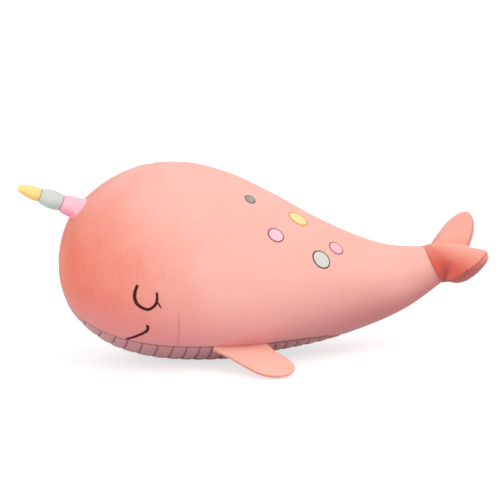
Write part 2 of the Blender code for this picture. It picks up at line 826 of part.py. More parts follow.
MOUTH_ALONG = 0.0976
MOUTH_ANGLE = math.radians(-31.8)
MOUTH_LENGTH = 0.0235
MOUTH_HEIGHT = 0.0335
mouth_shares = ((0.0, 0.0), (0.05, -0.2), (-0.12, -0.4), (-0.42, -0.62), (-0.93, -1.0))

# Name, distance behind the nose, angle up the side, long and short axis, tilt, patch and edging colour
spot_rows = (
    ("grey", 0.2355, 55.4, 0.0170, 0.0131, 50, (0.36, 0.33, 0.29), (0.2, 0.22, 0.19)),
    ("yellow", 0.3020, 57.0, 0.0300, 0.0235, 24, (0.97, 0.74, 0.42), (0.8, 0.62, 0.12)),
    ("pink", 0.2622, 32.7, 0.0248, 0.0197, 25, (0.95, 0.6, 0.65), (0.55, 0.14, 0.2)),
    ("rose", 0.3524, 40.4, 0.0231, 0.0188, 10, (0.98, 0.56, 0.6), (0.6, 0.2, 0.28)),
    ("mint", 0.3255, 24.5, 0.0282, 0.0255, 8, (0.7, 0.71, 0.64), (0.09, 0.09, 0.09)),
)

for side, label in ((-1, "left"), (1, "right")):
    eye = (EYE_ALONG, EYE_ANGLE)
    lid = smooth_path(scaled(eye_shares, EYE_WIDTH, EYE_HEIGHT), 18)
    stitched_line(f"eye_{label}", eye, lid, THREAD_WIDTH, THREAD_HEIGHT, THREAD_DARK, side)
    lash = smooth_path(scaled(lash_shares, EYE_WIDTH, EYE_HEIGHT), 3)
    stitched_line(f"eyelash_{label}", eye, lash, LASH_WIDTH, THREAD_HEIGHT, THREAD_DARK, side)
    mouth = (MOUTH_ALONG, MOUTH_ANGLE)
    smile = smooth_path(scaled(mouth_shares, MOUTH_LENGTH, MOUTH_HEIGHT), 12)
    stitched_line(f"mouth_{label}", mouth, smile, THREAD_WIDTH, THREAD_HEIGHT, THREAD_DARK, side)
    for name, along, degrees, long_axis, short_axis, tilt, patch_colour, edge_colour in spot_rows:
        place = (along, math.radians(degrees))
        turn = math.radians(tilt)
        ring = []
        for i in range(SPOT_STEPS):
            angle = 2 * math.pi * i / SPOT_STEPS
            x, y = long_axis / 2 * math.cos(angle), short_axis / 2 * math.sin(angle)
            ring.append(
                (
                    x * math.cos(turn) - y * math.sin(turn),
                    x * math.sin(turn) + y * math.cos(turn),
                )
            )
        patch = bmesh.new()
        shrink = 1 - (EDGING_WIDTH / 2 + SEAM_GAP) / (short_axis / 2)
        levels = []
        for lift in (SEAM_GAP, SEAM_GAP + SPOT_HEIGHT):
            rim = [
                patch.verts.new(on_skin(*place, x * shrink, y * shrink, lift, side))
                for x, y in ring
            ]
            centre = patch.verts.new(on_skin(*place, 0, 0, lift, side))
            for i in range(SPOT_STEPS):
                patch.faces.new((centre, rim[i], rim[(i + 1) % SPOT_STEPS]))
            levels.append(rim)
        faces_between(patch, levels, True)
        add_node(f"spot_{name}_{label}", patch, patch_colour)
        edging = f"spot_{name}_{label}_edging"
        stitched_line(edging, place, ring, EDGING_WIDTH, EDGING_HEIGHT, edge_colour, side, True)

bpy.context.view_layer.update()
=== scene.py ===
"""Looks of a plush narwhal lying on its belly, head towards -X, made as it is sewn and stuffed."""

import json
import math

import bpy
import numpy as np
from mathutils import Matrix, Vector


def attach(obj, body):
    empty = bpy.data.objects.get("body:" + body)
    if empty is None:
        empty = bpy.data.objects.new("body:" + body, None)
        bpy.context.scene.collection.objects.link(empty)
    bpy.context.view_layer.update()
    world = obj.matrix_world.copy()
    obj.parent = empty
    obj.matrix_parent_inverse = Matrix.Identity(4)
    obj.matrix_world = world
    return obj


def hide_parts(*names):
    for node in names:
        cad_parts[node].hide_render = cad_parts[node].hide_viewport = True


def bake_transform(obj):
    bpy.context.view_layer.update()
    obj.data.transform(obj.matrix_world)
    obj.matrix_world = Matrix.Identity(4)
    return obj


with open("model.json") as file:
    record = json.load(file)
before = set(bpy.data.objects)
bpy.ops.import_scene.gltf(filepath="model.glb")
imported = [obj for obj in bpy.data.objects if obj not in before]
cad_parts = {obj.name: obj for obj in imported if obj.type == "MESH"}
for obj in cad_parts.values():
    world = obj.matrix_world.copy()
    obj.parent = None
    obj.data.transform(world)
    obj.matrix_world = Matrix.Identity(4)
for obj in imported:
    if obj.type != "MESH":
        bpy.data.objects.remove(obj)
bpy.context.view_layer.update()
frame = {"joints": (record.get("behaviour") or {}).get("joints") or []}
bpy.ops.object.select_all(action="DESELECT")

# Studio: a long lens seen from a little ahead of the toy's left side and a little above it,
# a pale floor, an even sky and two big soft lamps, the brighter one over the tail.
CAMERA_AZIMUTH = math.radians(-13.5)
CAMERA_ELEVATION = math.radians(10)
CAMERA_DISTANCE = 2.6
CAMERA_LENS = 144
LOOKED_AT = Vector((0.0517, 0, 0.1384))
FLOOR_SIZE = 60
FLOOR_WHITE = "#ffffff"
FLOOR_GREY = "#f6f0f0"
FLOOR_SHINE = 1.35
FLOOR_GLOW_SHARE = 0.5
SKY_WHITE = "#ffffff"
SKY_STRENGTH = 0.83


def studio_place(azimuth, elevation, distance):
    """A place round the toy: azimuth from its left side, elevation, and distance in metres."""
    flat = math.cos(elevation)
    return LOOKED_AT + distance * Vector(
        (math.sin(azimuth) * flat, -math.cos(azimuth) * flat, math.sin(elevation))
    )


def linear(colour):
    """An sRGB hex colour as the four linear numbers that a shader takes."""
    parts = [int(colour[i : i + 2], 16) / 255 for i in (1, 3, 5)]
    return (*[c / 12.92 if c <= 0.04045 else ((c + 0.055) / 1.055) ** 2.4 for c in parts], 1)


def node(material, kind, settings=None, **links):
    """Adds one shader node; settings are its own values, links what its sockets hold or take."""
    added = material.node_tree.nodes.new(f"ShaderNode{kind}")
    for name, value in (settings or {}).items():
        setattr(added, name, value)
    for name, value in links.items():
        key = int(name[1:]) if name[0] == "_" else name.replace("_", " ")
        if isinstance(value, bpy.types.NodeSocket):
            material.node_tree.links.new(value, added.inputs[key])
        else:
            added.inputs[key].default_value = linear(value) if isinstance(value, str) else value
    return added


def empty_material(name):
    """A material with no nodes yet."""
    material = bpy.data.materials.new(name)
    material.use_nodes = True
    material.node_tree.nodes.clear()
    return material


camera = bpy.data.objects.new("camera", bpy.data.cameras.new("camera"))
bpy.context.collection.objects.link(camera)
camera.data.lens = CAMERA_LENS
camera.location = studio_place(CAMERA_AZIMUTH, CAMERA_ELEVATION, CAMERA_DISTANCE)
camera.rotation_euler = (LOOKED_AT - camera.location).to_track_quat("-Z", "Y").to_euler()
bpy.context.scene.camera = camera
bpy.context.scene.view_settings.view_transform = "Standard"

bpy.ops.mesh.primitive_plane_add(size=FLOOR_SIZE)
floor = bpy.context.object
floor.name = "floor"
floor_paper = empty_material("white_paper")
seen = node(floor_paper, "LightPath")
straight = node(
    floor_paper,
    "Math",
    {"operation": "MAXIMUM"},
    _0=seen.outputs["Is Camera Ray"],
    _1=seen.outputs["Is Glossy Ray"],
)
dull = node(floor_paper, "BsdfDiffuse", Color=FLOOR_GREY)
white = node(floor_paper, "BsdfDiffuse", Color=FLOOR_WHITE)
glow = node(floor_paper, "Emission", Color=FLOOR_WHITE, Strength=FLOOR_SHINE)
lifted = node(
    floor_paper, "MixShader", _0=FLOOR_GLOW_SHARE, _1=white.outputs[0], _2=glow.outputs[0]
)
paper = node(
    floor_paper, "MixShader", _0=straight.outputs[0], _1=dull.outputs[0], _2=lifted.outputs[0]
)
node(floor_paper, "OutputMaterial", Surface=paper.outputs[0])
floor.data.materials.append(floor_paper)

sky = bpy.data.worlds.new("sky")
bpy.context.scene.world = sky
sky.use_nodes = True
sky.node_tree.nodes.clear()
rays = node(sky, "LightPath")
open_sky = node(sky, "Background", Color=SKY_WHITE, Strength=SKY_STRENGTH)
backdrop = node(sky, "Background", Color=FLOOR_WHITE, Strength=1.0)
either = node(
    sky,
    "MixShader",
    _0=rays.outputs["Is Camera Ray"],
    _1=open_sky.outputs[0],
    _2=backdrop.outputs[0],
)
node(sky, "OutputWorld", Surface=either.outputs[0])

# Name, degrees round from the toy's left side, degrees up, distance, size in metres and watts
lamp_rows = (
    ("key_lamp", 30, 55, 2.2, 1.6, 12.5),
    ("fill_lamp", -50, 8, 2.6, 2.2, 9),
)
for name, azimuth, elevation, distance, size, power in lamp_rows:
    lamp = bpy.data.objects.new(name, bpy.data.lights.new(name, "AREA"))
    bpy.context.collection.objects.link(lamp)
    lamp.data.size = size
    lamp.data.energy = power
    lamp.location = studio_place(math.radians(azimuth), math.radians(elevation), distance)
    lamp.rotation_euler = (LOOKED_AT - lamp.location).to_track_quat("-Z", "Y").to_euler()

# Body shape: the stuffed form that every panel is drawn over. Loose polyester fill pushes
# the skin out evenly, so the form is swollen by air pressure from a slightly smaller one.
BODY_LENGTH = 0.504
BODY_HEIGHT = 0.259
BODY_WIDTH = 0.244
REST_CUT = 0.0005
TAIL_TILT = math.radians(26)
BELLY_ANGLE = math.radians(43)
BELLY_ROUNDNESS = 2.3
SIDE_ROUNDNESS = 2.0
TOP = math.pi / 2
FINE_PLACES = 1001
NOSE_STATION = 0.01
SMALL_STEP = 1e-3

# Distance behind the nose, height of the middle, half height, width and tilt, as shares
body_shares = (
    (0.000, 0.490, 0.000, 0.000, 0.00),
    (0.028, 0.501, 0.223, 0.520, 0.00),
    (0.108, 0.506, 0.384, 0.790, 0.00),
    (0.212, 0.513, 0.472, 0.945, 0.00),
    (0.330, 0.504, 0.495, 1.000, 0.00),
    (0.444, 0.474, 0.467, 0.970, 0.00),
    (0.557, 0.433, 0.400, 0.870, 0.00),
    (0.670, 0.388, 0.324, 0.700, 0.05),
    (0.780, 0.366, 0.250, 0.500, 0.20),
    (0.890, 0.376, 0.179, 0.320, 0.60),
    (1.000, 0.431, 0.105, 0.185, 1.00),
)
TAIL_STATION = len(body_shares) - 1

# Station and half angle of the belly panel there, as a share of its widest
belly_edge_shares = (
    (0.62, 0.00),
    (0.95, 0.33),
    (1.20, 0.56),
    (1.45, 0.72),
    (1.84, 0.84),
    (2.20, 0.90),
    (3.00, 0.955),
    (4.25, 1.00),
    (5.60, 0.98),
    (6.50, 0.945),
    (7.00, 0.86),
    (7.40, 0.60),
    (7.70, 0.00),
)
BELLY_FRONT = belly_edge_shares[0][0]
BELLY_BACK = belly_edge_shares[-1][0]


def curve_through(values, places, odd_at_start=False):
    """The smooth curve through evenly spaced values, at places counted in values."""
    values = np.asarray(values, float)
    first = 2 * values[0] - values[1] if odd_at_start else values[1]
    points = np.array([first, *values, 2 * values[-1] - values[-2]])
    places = np.clip(places, 0, len(values) - 1)
    i = np.minimum(places.astype(int), len(values) - 2)
    f = places - i
    if points.ndim > 1:
        f = f[..., None]
    a, b, c, d = points[i], points[i + 1], points[i + 2], points[i + 3]
    return 0.5 * (
        2 * b + (c - a) * f + (2 * a - 5 * b + 4 * c - d) * f**2 + (3 * b - a - 3 * c + d) * f**3
    )


def raw_body(stations, angles):
    """Points of the form: angle 0 is the toy's right side, 90 degrees its back, 180 its left."""
    shares = [
        curve_through(column, stations, i in (2, 3)) for i, column in enumerate(zip(*body_shares))
    ]
    out, up = np.cos(angles), np.sin(angles)
    power = np.where(up < 0, BELLY_ROUNDNESS, SIDE_ROUNDNESS)
    reach = (np.abs(out) ** power + np.abs(up) ** power) ** (-1 / power)
    rise = shares[2] * BODY_HEIGHT * up * reach
    tilt = shares[4] * TAIL_TILT
    across = shares[3] * BODY_WIDTH / 2 * out * reach
    along = shares[0] * BODY_LENGTH - rise * np.sin(tilt)
    return np.stack([along, across, shares[1] * BODY_HEIGHT + rise * np.cos(tilt)], -1)


fine_stations = np.linspace(0, TAIL_STATION, FINE_PLACES)
under_line = raw_body(fine_stations, -TOP)
lowest = under_line[:, 2].min()
resting = under_line[under_line[:, 2] < lowest + REST_CUT, 0]
ORIGIN = np.array([(resting[0] + resting[-1]) / 2, 0, lowest + REST_CUT])
fine_places = curve_through([row[0] for row in body_shares], fine_stations) * BODY_LENGTH


def body_point(stations, angles):
    """The form's points where the toy stands: its belly on the floor at the origin."""
    return raw_body(stations, angles) - ORIGIN


def body_normal(stations, angles):
    """The way out of the form; the very nose, where all angles meet, takes it from close by."""
    stations = np.maximum(stations, NOSE_STATION)
    along = raw_body(stations + SMALL_STEP, angles) - raw_body(stations - SMALL_STEP, angles)
    around = raw_body(stations, angles + SMALL_STEP) - raw_body(stations, angles - SMALL_STEP)
    normals = np.cross(around, along)
    return normals / np.linalg.norm(normals, axis=-1, keepdims=True)


def station_at(along):
    """The station at a distance behind the nose."""
    return np.interp(along, fine_places, fine_stations)


def belly_half_angle(stations):
    """Half the belly panel's width, as an angle round the body."""
    return BELLY_ANGLE * np.interp(stations, *zip(*belly_edge_shares))


def beside(distance, width):
    """How much of a seam is felt at a distance from it: 1 on it, hardly any at twice its width."""
    return np.exp(-((distance / width) ** 2))


def sample(grid, rows, columns):
    """A grid's values between its points, on smooth curves through them."""
    high = np.array(grid.shape[:2])[:, None] - 1
    places = np.clip(np.stack([np.ravel(rows), np.ravel(columns)]), 0, high)
    start = np.minimum(places.astype(int), high - 1)
    f = places - start
    weights = 0.5 * np.stack(
        [
            -f + 2 * f**2 - f**3,
            2 - 5 * f**2 + 3 * f**3,
            f + 4 * f**2 - 3 * f**3,
            -(f**2) + f**3,
        ]
    )
    total = 0
    for i in range(4):
        for j in range(4):
            row = np.clip(start[0] + i - 1, 0, high[0])
            column = np.clip(start[1] + j - 1, 0, high[1])
            total = total + grid[row, column] * (weights[i, 0] * weights[j, 1])[:, None]
    return total.reshape(*np.shape(rows), grid.shape[2])


WELDS_PER_METRE = 1e5
SWELL_FRAMES = 20
SEWN_STIFFNESS = 5
BENDING_STIFFNESS = 0.5
CLOTH_STEPS = 6


def inflate(name, grids, held, cap, pressure, stiffness):
    """Swells sewn grids of points by air pressure, held where the shares say, and returns them."""
    numbers, points, weights, faces, index_grids = {}, [], [], [], []
    for grid, holding in zip(grids, held):
        index = np.zeros(grid.shape[:2], int)
        for place in np.ndindex(index.shape):
            key = tuple(np.round(grid[place] * WELDS_PER_METRE).astype(int))
            if key not in numbers:
                numbers[key] = len(points)
                points.append(grid[place])
                weights.append(float(holding[place]))
            index[place] = numbers[key]
        for i in range(index.shape[0] - 1):
            for j in range(index.shape[1] - 1):
                corners = (index[i, j], index[i, j + 1], index[i + 1, j + 1], index[i + 1, j])
                corners = list(dict.fromkeys(int(corner) for corner in corners))
                if len(corners) > 2:
                    faces.append(corners)
        index_grids.append(index)
    mesh = bpy.data.meshes.new(name)
    mesh.from_pydata([tuple(point) for point in points], [], faces)
    form = bpy.data.objects.new(name, mesh)
    bpy.context.collection.objects.link(form)
    bpy.context.view_layer.objects.active = form
    form.select_set(True)
    bpy.ops.object.mode_set(mode="EDIT")
    bpy.ops.mesh.select_all(action="SELECT")
    bpy.ops.mesh.normals_make_consistent(inside=False)
    bpy.ops.object.mode_set(mode="OBJECT")
    pins = form.vertex_groups.new(name="sewn")
    for number, weight in enumerate(weights):
        pins.add([number], weight, "REPLACE")
    air = form.modifiers.new("air", "CLOTH")
    air.settings.vertex_group_mass = "sewn"
    air.settings.pin_stiffness = SEWN_STIFFNESS
    air.settings.use_pressure = True
    air.settings.uniform_pressure_force = pressure
    air.settings.effector_weights.gravity = 0
    air.settings.tension_stiffness = stiffness
    air.settings.compression_stiffness = stiffness
    air.settings.shear_stiffness = stiffness / 3
    air.settings.bending_stiffness = BENDING_STIFFNESS
    air.settings.quality = CLOTH_STEPS
    air.point_cache.frame_start = 1
    air.point_cache.frame_end = SWELL_FRAMES
    for number in range(1, SWELL_FRAMES + 1):
        bpy.context.scene.frame_set(number)
    blown = form.evaluated_get(bpy.context.evaluated_depsgraph_get()).to_mesh()
    end = np.zeros(len(points) * 3)
    blown.vertices.foreach_get("co", end)
    start = np.array(points)
    moved = end.reshape(-1, 3) - start
    length = np.linalg.norm(moved, axis=1, keepdims=True)
    moved *= np.minimum(1, cap / np.maximum(length, 1e-9))
    bpy.data.objects.remove(form)
    bpy.context.scene.frame_set(1)
    return [(start + moved)[index] for index in index_grids]


FORM_ROWS = 72
FORM_COLUMNS = 80
FORM_CROWDING = 1.6
FORM_DEPTH = 0.0016
SEAM_HOLD = 0.006
SKIN_CAP = 0.0024
BODY_PRESSURE = 4
BODY_STIFFNESS = 30

form_stations = station_at(BODY_LENGTH * np.linspace(0, 1, FORM_ROWS) ** FORM_CROWDING)
form_angles = TOP + np.linspace(0, 2 * math.pi, FORM_COLUMNS + 1)
row_grid, angle_grid = np.meshgrid(form_stations, form_angles, indexing="ij")
full_form = body_point(row_grid, angle_grid)
small_form = full_form - FORM_DEPTH * body_normal(row_grid, angle_grid)
small_form[:, -1] = small_form[:, 0]
small_form[0] = full_form[0, 0] + np.array([FORM_DEPTH, 0, 0])
ring_radius = np.linalg.norm(full_form - full_form.mean(1, keepdims=True), axis=-1)
from_bottom = math.pi - np.abs((angle_grid + TOP) % (2 * math.pi) - math.pi)
from_back = np.minimum(angle_grid - TOP, TOP + 2 * math.pi - angle_grid)
to_belly_seam = np.abs(from_bottom - belly_half_angle(row_grid))
seam_distance = ring_radius * np.minimum(from_back, to_belly_seam)
held = beside(seam_distance, SEAM_HOLD)
held[[0, -1]] = 1
swollen = inflate("body_form", [small_form], [held], SKIN_CAP, BODY_PRESSURE, BODY_STIFFNESS)
skin_offset = swollen[0] - full_form


def stuffed_point(stations, angles):
    """Points of the swollen body."""
    rows = np.interp(stations, form_stations, np.arange(FORM_ROWS))
    columns = (angles - TOP) % (2 * math.pi) / (2 * math.pi) * FORM_COLUMNS
    return body_point(stations, angles) + sample(skin_offset, rows, columns)


# Plush: a warp knit velour with a pile of 1 to 2 mm. The pile scatters light back at its
# edges and hides the knit under it. Its colour varies at random in patches and specks, and
# has painted shade: deeper along a ramp, where it faces down, low by the tail and in creases.
PILE_GRAIN = 0.0014
PILE_SPECK = 0.2
PILE_BUMP = 0.0007
BUMP_STRENGTH = 0.35
NAP_PATCH = 0.045
NAP_DEPTH = 0.12
# Painted shade where the surface faces down; towards the tail it starts higher up and goes to a
# darker colour
UNDERSIDE_SHADE_START = 0.15
UNDERSIDE_SHADE_END = -0.9
UNDERSIDE_SHADE_SHARE = 0.8
REAR_TURN = -0.3
REAR_START = 0.0
REAR_END = 0.22
SHEEN = 0.35
SHEEN_ROUGHNESS = 0.5
SHEEN_TINT = "#fff1ea"
PLUSH_ROUGHNESS = 0.92
PLUSH_SPECULAR = 0.2
MIXED = {"data_type": "RGBA"}
SMOOTHED = {"interpolation_type": "SMOOTHSTEP"}


def velour(name, pale, deep, seam, under, gradient=None, rear=None, grain=PILE_GRAIN):
    """Short plush with painted shade: it goes deep along a given ramp, to under where it faces
    down, to rear where it faces down by the tail, and to seam in creases.
    """
    material = empty_material(name)
    place = node(material, "TexCoord").outputs["Object"]
    patches = node(material, "TexNoise", Vector=place, Scale=1 / NAP_PATCH, Detail=2.0)
    tone = node(
        material,
        "MapRange",
        Value=patches.outputs["Fac"],
        From_Min=0.35,
        From_Max=0.65,
        To_Min=-NAP_DEPTH / 2,
        To_Max=NAP_DEPTH / 2,
    ).outputs["Result"]
    # Painted shade: the colour deepens along a straight ramp across the object
    if gradient:
        (x0, z0), (x1, z1) = gradient
        run = Vector((x1 - x0, 0, z1 - z0))
        along = node(
            material,
            "VectorMath",
            {"operation": "DOT_PRODUCT"},
            _0=place,
            _1=run / run.length_squared,
        ).outputs["Value"]
        begin = (x0 * run.x + z0 * run.z) / run.length_squared
        ramp = node(
            material,
            "MapRange",
            SMOOTHED,
            Value=along,
            From_Min=begin,
            From_Max=begin + 1,
            To_Min=1.0,
            To_Max=0.0,
        ).outputs["Result"]
        tone = node(material, "Math", {"operation": "ADD"}, _0=tone, _1=ramp).outputs[0]
    pile = node(
        material, "TexNoise", Vector=place, Scale=1 / grain, Detail=3.0, Roughness=0.65
    ).outputs["Fac"]
    speck = node(
        material,
        "MapRange",
        Value=pile,
        From_Min=0.3,
        From_Max=0.7,
        To_Min=-PILE_SPECK,
        To_Max=PILE_SPECK,
    ).outputs["Result"]
    tone = node(
        material, "Math", {"operation": "ADD", "use_clamp": True}, _0=tone, _1=speck
    ).outputs[0]
    dye_and_shade = node(material, "Mix", MIXED, _0=tone, _6=pale, _7=deep).outputs[2]
    # Painted shade: where the surface faces down the colour goes to the under colour, and by the
    # tail to the rear colour, from higher up
    facing = node(material, "NewGeometry").outputs["Normal"]
    upward = node(material, "SeparateXYZ", Vector=facing).outputs["Z"]
    underside_shade_colour = under
    if rear:
        behind = node(material, "SeparateXYZ", Vector=place).outputs["X"]
        at_rear = node(
            material,
            "MapRange",
            SMOOTHED,
            Value=behind,
            From_Min=REAR_START,
            From_Max=REAR_END,
        ).outputs["Result"]
        underside_shade_colour = node(material, "Mix", MIXED, _0=at_rear, _6=under, _7=rear).outputs[2]
        upward = node(
            material, "Math", {"operation": "MULTIPLY_ADD"}, _0=at_rear, _1=REAR_TURN, _2=upward
        ).outputs[0]
    underside_shade_share = node(
        material,
        "MapRange",
        SMOOTHED,
        Value=upward,
        From_Min=UNDERSIDE_SHADE_START,
        From_Max=UNDERSIDE_SHADE_END,
        To_Max=UNDERSIDE_SHADE_SHARE,
    ).outputs["Result"]
    underside_shaded = node(material, "Mix", MIXED, _0=underside_shade_share, _6=dye_and_shade, _7=underside_shade_colour).outputs[2]
    # Painted shade in creases: the colour goes to the seam colour as far as each point is marked
    # for it
    crease_shade = node(material, "Attribute", {"attribute_name": "crease_shade"}).outputs["Fac"]
    colour = node(material, "Mix", MIXED, _0=crease_shade, _6=underside_shaded, _7=seam).outputs[2]
    bump = node(
        material, "Bump", Strength=BUMP_STRENGTH, Distance=PILE_BUMP, Height=pile
    ).outputs["Normal"]
    shader = node(
        material,
        "BsdfPrincipled",
        Base_Color=colour,
        Roughness=PLUSH_ROUGHNESS,
        Normal=bump,
        Sheen_Weight=SHEEN,
        Sheen_Roughness=SHEEN_ROUGHNESS,
        Sheen_Tint=SHEEN_TINT,
        Specular_IOR_Level=PLUSH_SPECULAR,
    )
    node(material, "OutputMaterial", Surface=shader.outputs[0])
    return material


def ripple(places, pitch, seed):
    """Uneven waves along a seam, from -1 to 1, with crests about a pitch apart."""
    turns = places / pitch * 2 * math.pi
    main = 0.5 * np.sin(turns + seed) + 0.3 * np.sin(1.37 * turns + 2.1 * seed)
    return main + 0.2 * np.sin(0.61 * turns + 3.3 * seed)


def arc_lengths(points, axis):
    """Distances along a grid's lines from their first points."""
    steps = np.linalg.norm(np.diff(points, axis=axis), axis=-1)
    start = np.zeros_like(np.take(steps, [0], axis))
    return np.cumsum(np.concatenate([start, steps], axis), axis)


def grid_normals(points):
    """The directions straight off a grid of points."""
    down = np.gradient(points, axis=0)
    across = np.gradient(points, axis=1)
    normals = np.cross(across, down)
    return normals / np.maximum(np.linalg.norm(normals, axis=-1, keepdims=True), 1e-12)


CLOTH = 0.0016
SEWN_GAP = 2e-6
SMOOTH_ANGLE = math.radians(60)


def grid_piece(name, points, material, outward=None, crease_shade=None, wall=CLOTH):
    """A piece through a grid of points; an open one faces outward and gets the cloth's wall."""
    rows, columns = points.shape[:2]
    bpy.ops.object.select_all(action="DESELECT")
    bpy.ops.mesh.primitive_grid_add(x_subdivisions=columns - 1, y_subdivisions=rows - 1, size=1)
    piece = bpy.context.object
    piece.name = piece.data.name = name
    piece.data.vertices.foreach_set("co", points.reshape(-1).astype(np.float32))
    # Painted shade in creases, kept as a value on each point for the materials
    if crease_shade is not None:
        shade = piece.data.attributes.new("crease_shade", "FLOAT", "POINT")
        shade.data.foreach_set("value", np.clip(crease_shade, 0, 1).reshape(-1).astype(np.float32))
    piece.data.materials.append(material)
    bpy.ops.object.mode_set(mode="EDIT")
    bpy.ops.mesh.select_all(action="SELECT")
    bpy.ops.mesh.remove_doubles(threshold=SEWN_GAP)
    if outward is None:
        bpy.ops.mesh.normals_make_consistent(inside=False)
    else:
        normals = grid_normals(points)
        if (normals * outward).sum() < 0:
            bpy.ops.mesh.flip_normals()
    bpy.ops.object.mode_set(mode="OBJECT")
    if outward is not None:
        thick = piece.modifiers.new("wall", "SOLIDIFY")
        thick.thickness = wall
        thick.offset = -1
        bpy.ops.object.modifier_apply(modifier="wall")
    bpy.ops.object.shade_smooth_by_angle(angle=SMOOTH_ANGLE)
    return piece


# Side panels: two mirrored pieces of coral plush, joined along the back from chin to tail,
# each with a dart under the cheek and one over the head, where the flat cloth is shaped.
SIDE_ROWS = 300
SIDE_COLUMNS = 190
NOSE_CROWDING = 0.35
SEAM_SINK = 0.0016
SEAM_WIDTH = 0.0022
SEAM_LINE = 0.0012
SEAM_SHADE = 0.75
NOSE_SHADE = 0.1
TAIL_FADE = 0.04
SEAM_PUCKER = 0.00022
PUCKER_REACH = 0.007
PUCKER_PITCH = 0.0085
DART_SINK = 0.0013
DART_WIDTH = 0.0016
DART_SHOULDER = 0.0006
DART_START_STEEPNESS = 18
DART_END_STEEPNESS = 30
DART_REACH = 1.05

# Each dart's two ends, as distance behind the nose and angle, then its width, depth and shade
dart_rows = (
    (
        ((0.1325, math.radians(-21.9)), (0.1367, math.radians(-45.3))),
        DART_WIDTH,
        DART_SINK,
        0.55,
    ),
    (
        ((0.1246, math.radians(88)), (0.1162, math.radians(57))),
        2.2 * DART_WIDTH,
        0.8 * DART_SINK,
        0.0,
    ),
)

# The coral's deep colour is also painted shade towards the lower front of the head; its seam,
# under and rear colours are painted shade in creases, where it faces down and low by the tail
CORAL_PALE = "#fbbdb0"
CORAL_DEEP = "#ee7052"
CORAL_CREASE_SHADE = "#c4685e"
CORAL_UNDERSIDE_SHADE = "#dc969d"
CORAL_REAR_SHADE = "#b4626a"
coral = velour(
    "coral_velour",
    CORAL_PALE,
    CORAL_DEEP,
    CORAL_CREASE_SHADE,
    CORAL_UNDERSIDE_SHADE,
    gradient=((-0.215, 0.065), (-0.005, 0.175)),
    rear=CORAL_REAR_SHADE,
)


def dart_profile(along, angles, dart, width):
    """How deep a dart's stitched fold lies at each point, and how far its sides stand up."""
    (start, start_angle), (end, end_angle) = dart
    share = (angles - start_angle) / (end_angle - start_angle)
    middle = start + (end - start) * share
    begun = 1 / (1 + np.exp(-share * DART_START_STEEPNESS))
    inside = begun / (1 + np.exp((share - DART_REACH) * DART_END_STEEPNESS))
    distance = np.abs(along - middle)
    fold = np.exp(-((distance / width) ** 1.5)) * inside
    shoulder = beside(distance - 3 * width, 2 * width) * inside
    return fold, shoulder


side_skins = {}
for side, label in ((-1, "left"), (1, "right")):
    shares = np.linspace(0, 1, SIDE_ROWS)
    side_stations = station_at(BODY_LENGTH * (shares + NOSE_CROWDING * (shares**2 - shares)))
    stations, down = np.meshgrid(side_stations, np.linspace(0, 1, SIDE_COLUMNS), indexing="ij")
    bottom = belly_half_angle(stations) - TOP
    angles = TOP + (bottom - TOP) * down
    turned = angles if side > 0 else math.pi - angles
    points = stuffed_point(stations, turned)
    normals = body_normal(stations, turned)
    around = arc_lengths(points, 1)
    behind = np.interp(stations, fine_stations, fine_places)
    to_seam = np.minimum(around, around[:, -1:] - around)
    to_tail = BODY_LENGTH - behind
    sink = SEAM_SINK * np.exp(-to_seam / SEAM_WIDTH) * np.clip(to_tail / TAIL_FADE, 0, 1)
    waves = ripple(behind, PUCKER_PITCH, 1 + side) * SEAM_PUCKER * np.exp(-to_seam / PUCKER_REACH)
    # Painted shade along the seams, in the darts' folds and at the nose
    crease_shade = SEAM_SHADE * beside(to_seam, SEAM_LINE)
    lift = waves - sink
    for dart, width, depth, dark in dart_rows:
        fold, shoulder = dart_profile(behind, angles, dart, width)
        lift = lift - depth * fold + DART_SHOULDER * shoulder
        crease_shade = np.maximum(crease_shade, dark * fold**3)
    crease_shade[0] = NOSE_SHADE
    lift[0] = lift[1].mean()
    points = points + lift[..., None] * normals
    points[..., 1] = side * np.maximum(side * points[..., 1], 0)
    points[..., 2] = np.maximum(points[..., 2], 0)
    side_skins[label] = (side_stations, points, normals)
    panel = grid_piece(f"side_{label}", points, coral, normals, crease_shade)
    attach(panel, "body")
    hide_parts(f"body_side_{label}")

# Belly: one mauve panel let in from the chin to behind the flippers, stitched through to the
# filling in straight lines across, so that it stands up in ribs between them.
BELLY_ROWS = 420
BELLY_COLUMNS = 90
RIB_SINK = 0.0019
RIB_EDGE = 0.0013
RIB_SWELL = 0.0008
RIB_LINE = 0.0009
RIB_FADE = 0.0035
BELLY_PITCH = 0.006
BELLY_PUCKER = 0.0003
BELLY_PUCKER_REACH = 0.005
BELLY_SEAM_LINE = 0.0011
BELLY_SHADE = 0.9
rib_places = (
    -0.1710, -0.1533, -0.1374, -0.1227, -0.1047, -0.0857, -0.0668, -0.0495, -0.0330, -0.0169,
    -0.0001, 0.0171, 0.0345, 0.0522, 0.0687, 0.0841, 0.0998, 0.1158, 0.1324, 0.1490,
)
# Mauve: its deep colour is also painted shade towards the rear of the belly; its seam and under
# colours are painted shade in the seam and rib grooves and where it faces down
mauve = velour(
    "mauve_velour", "#cfa2a6", "#84555c", "#80494f", "#c2888e", gradient=((0.1, 0), (0.03, 0))
)

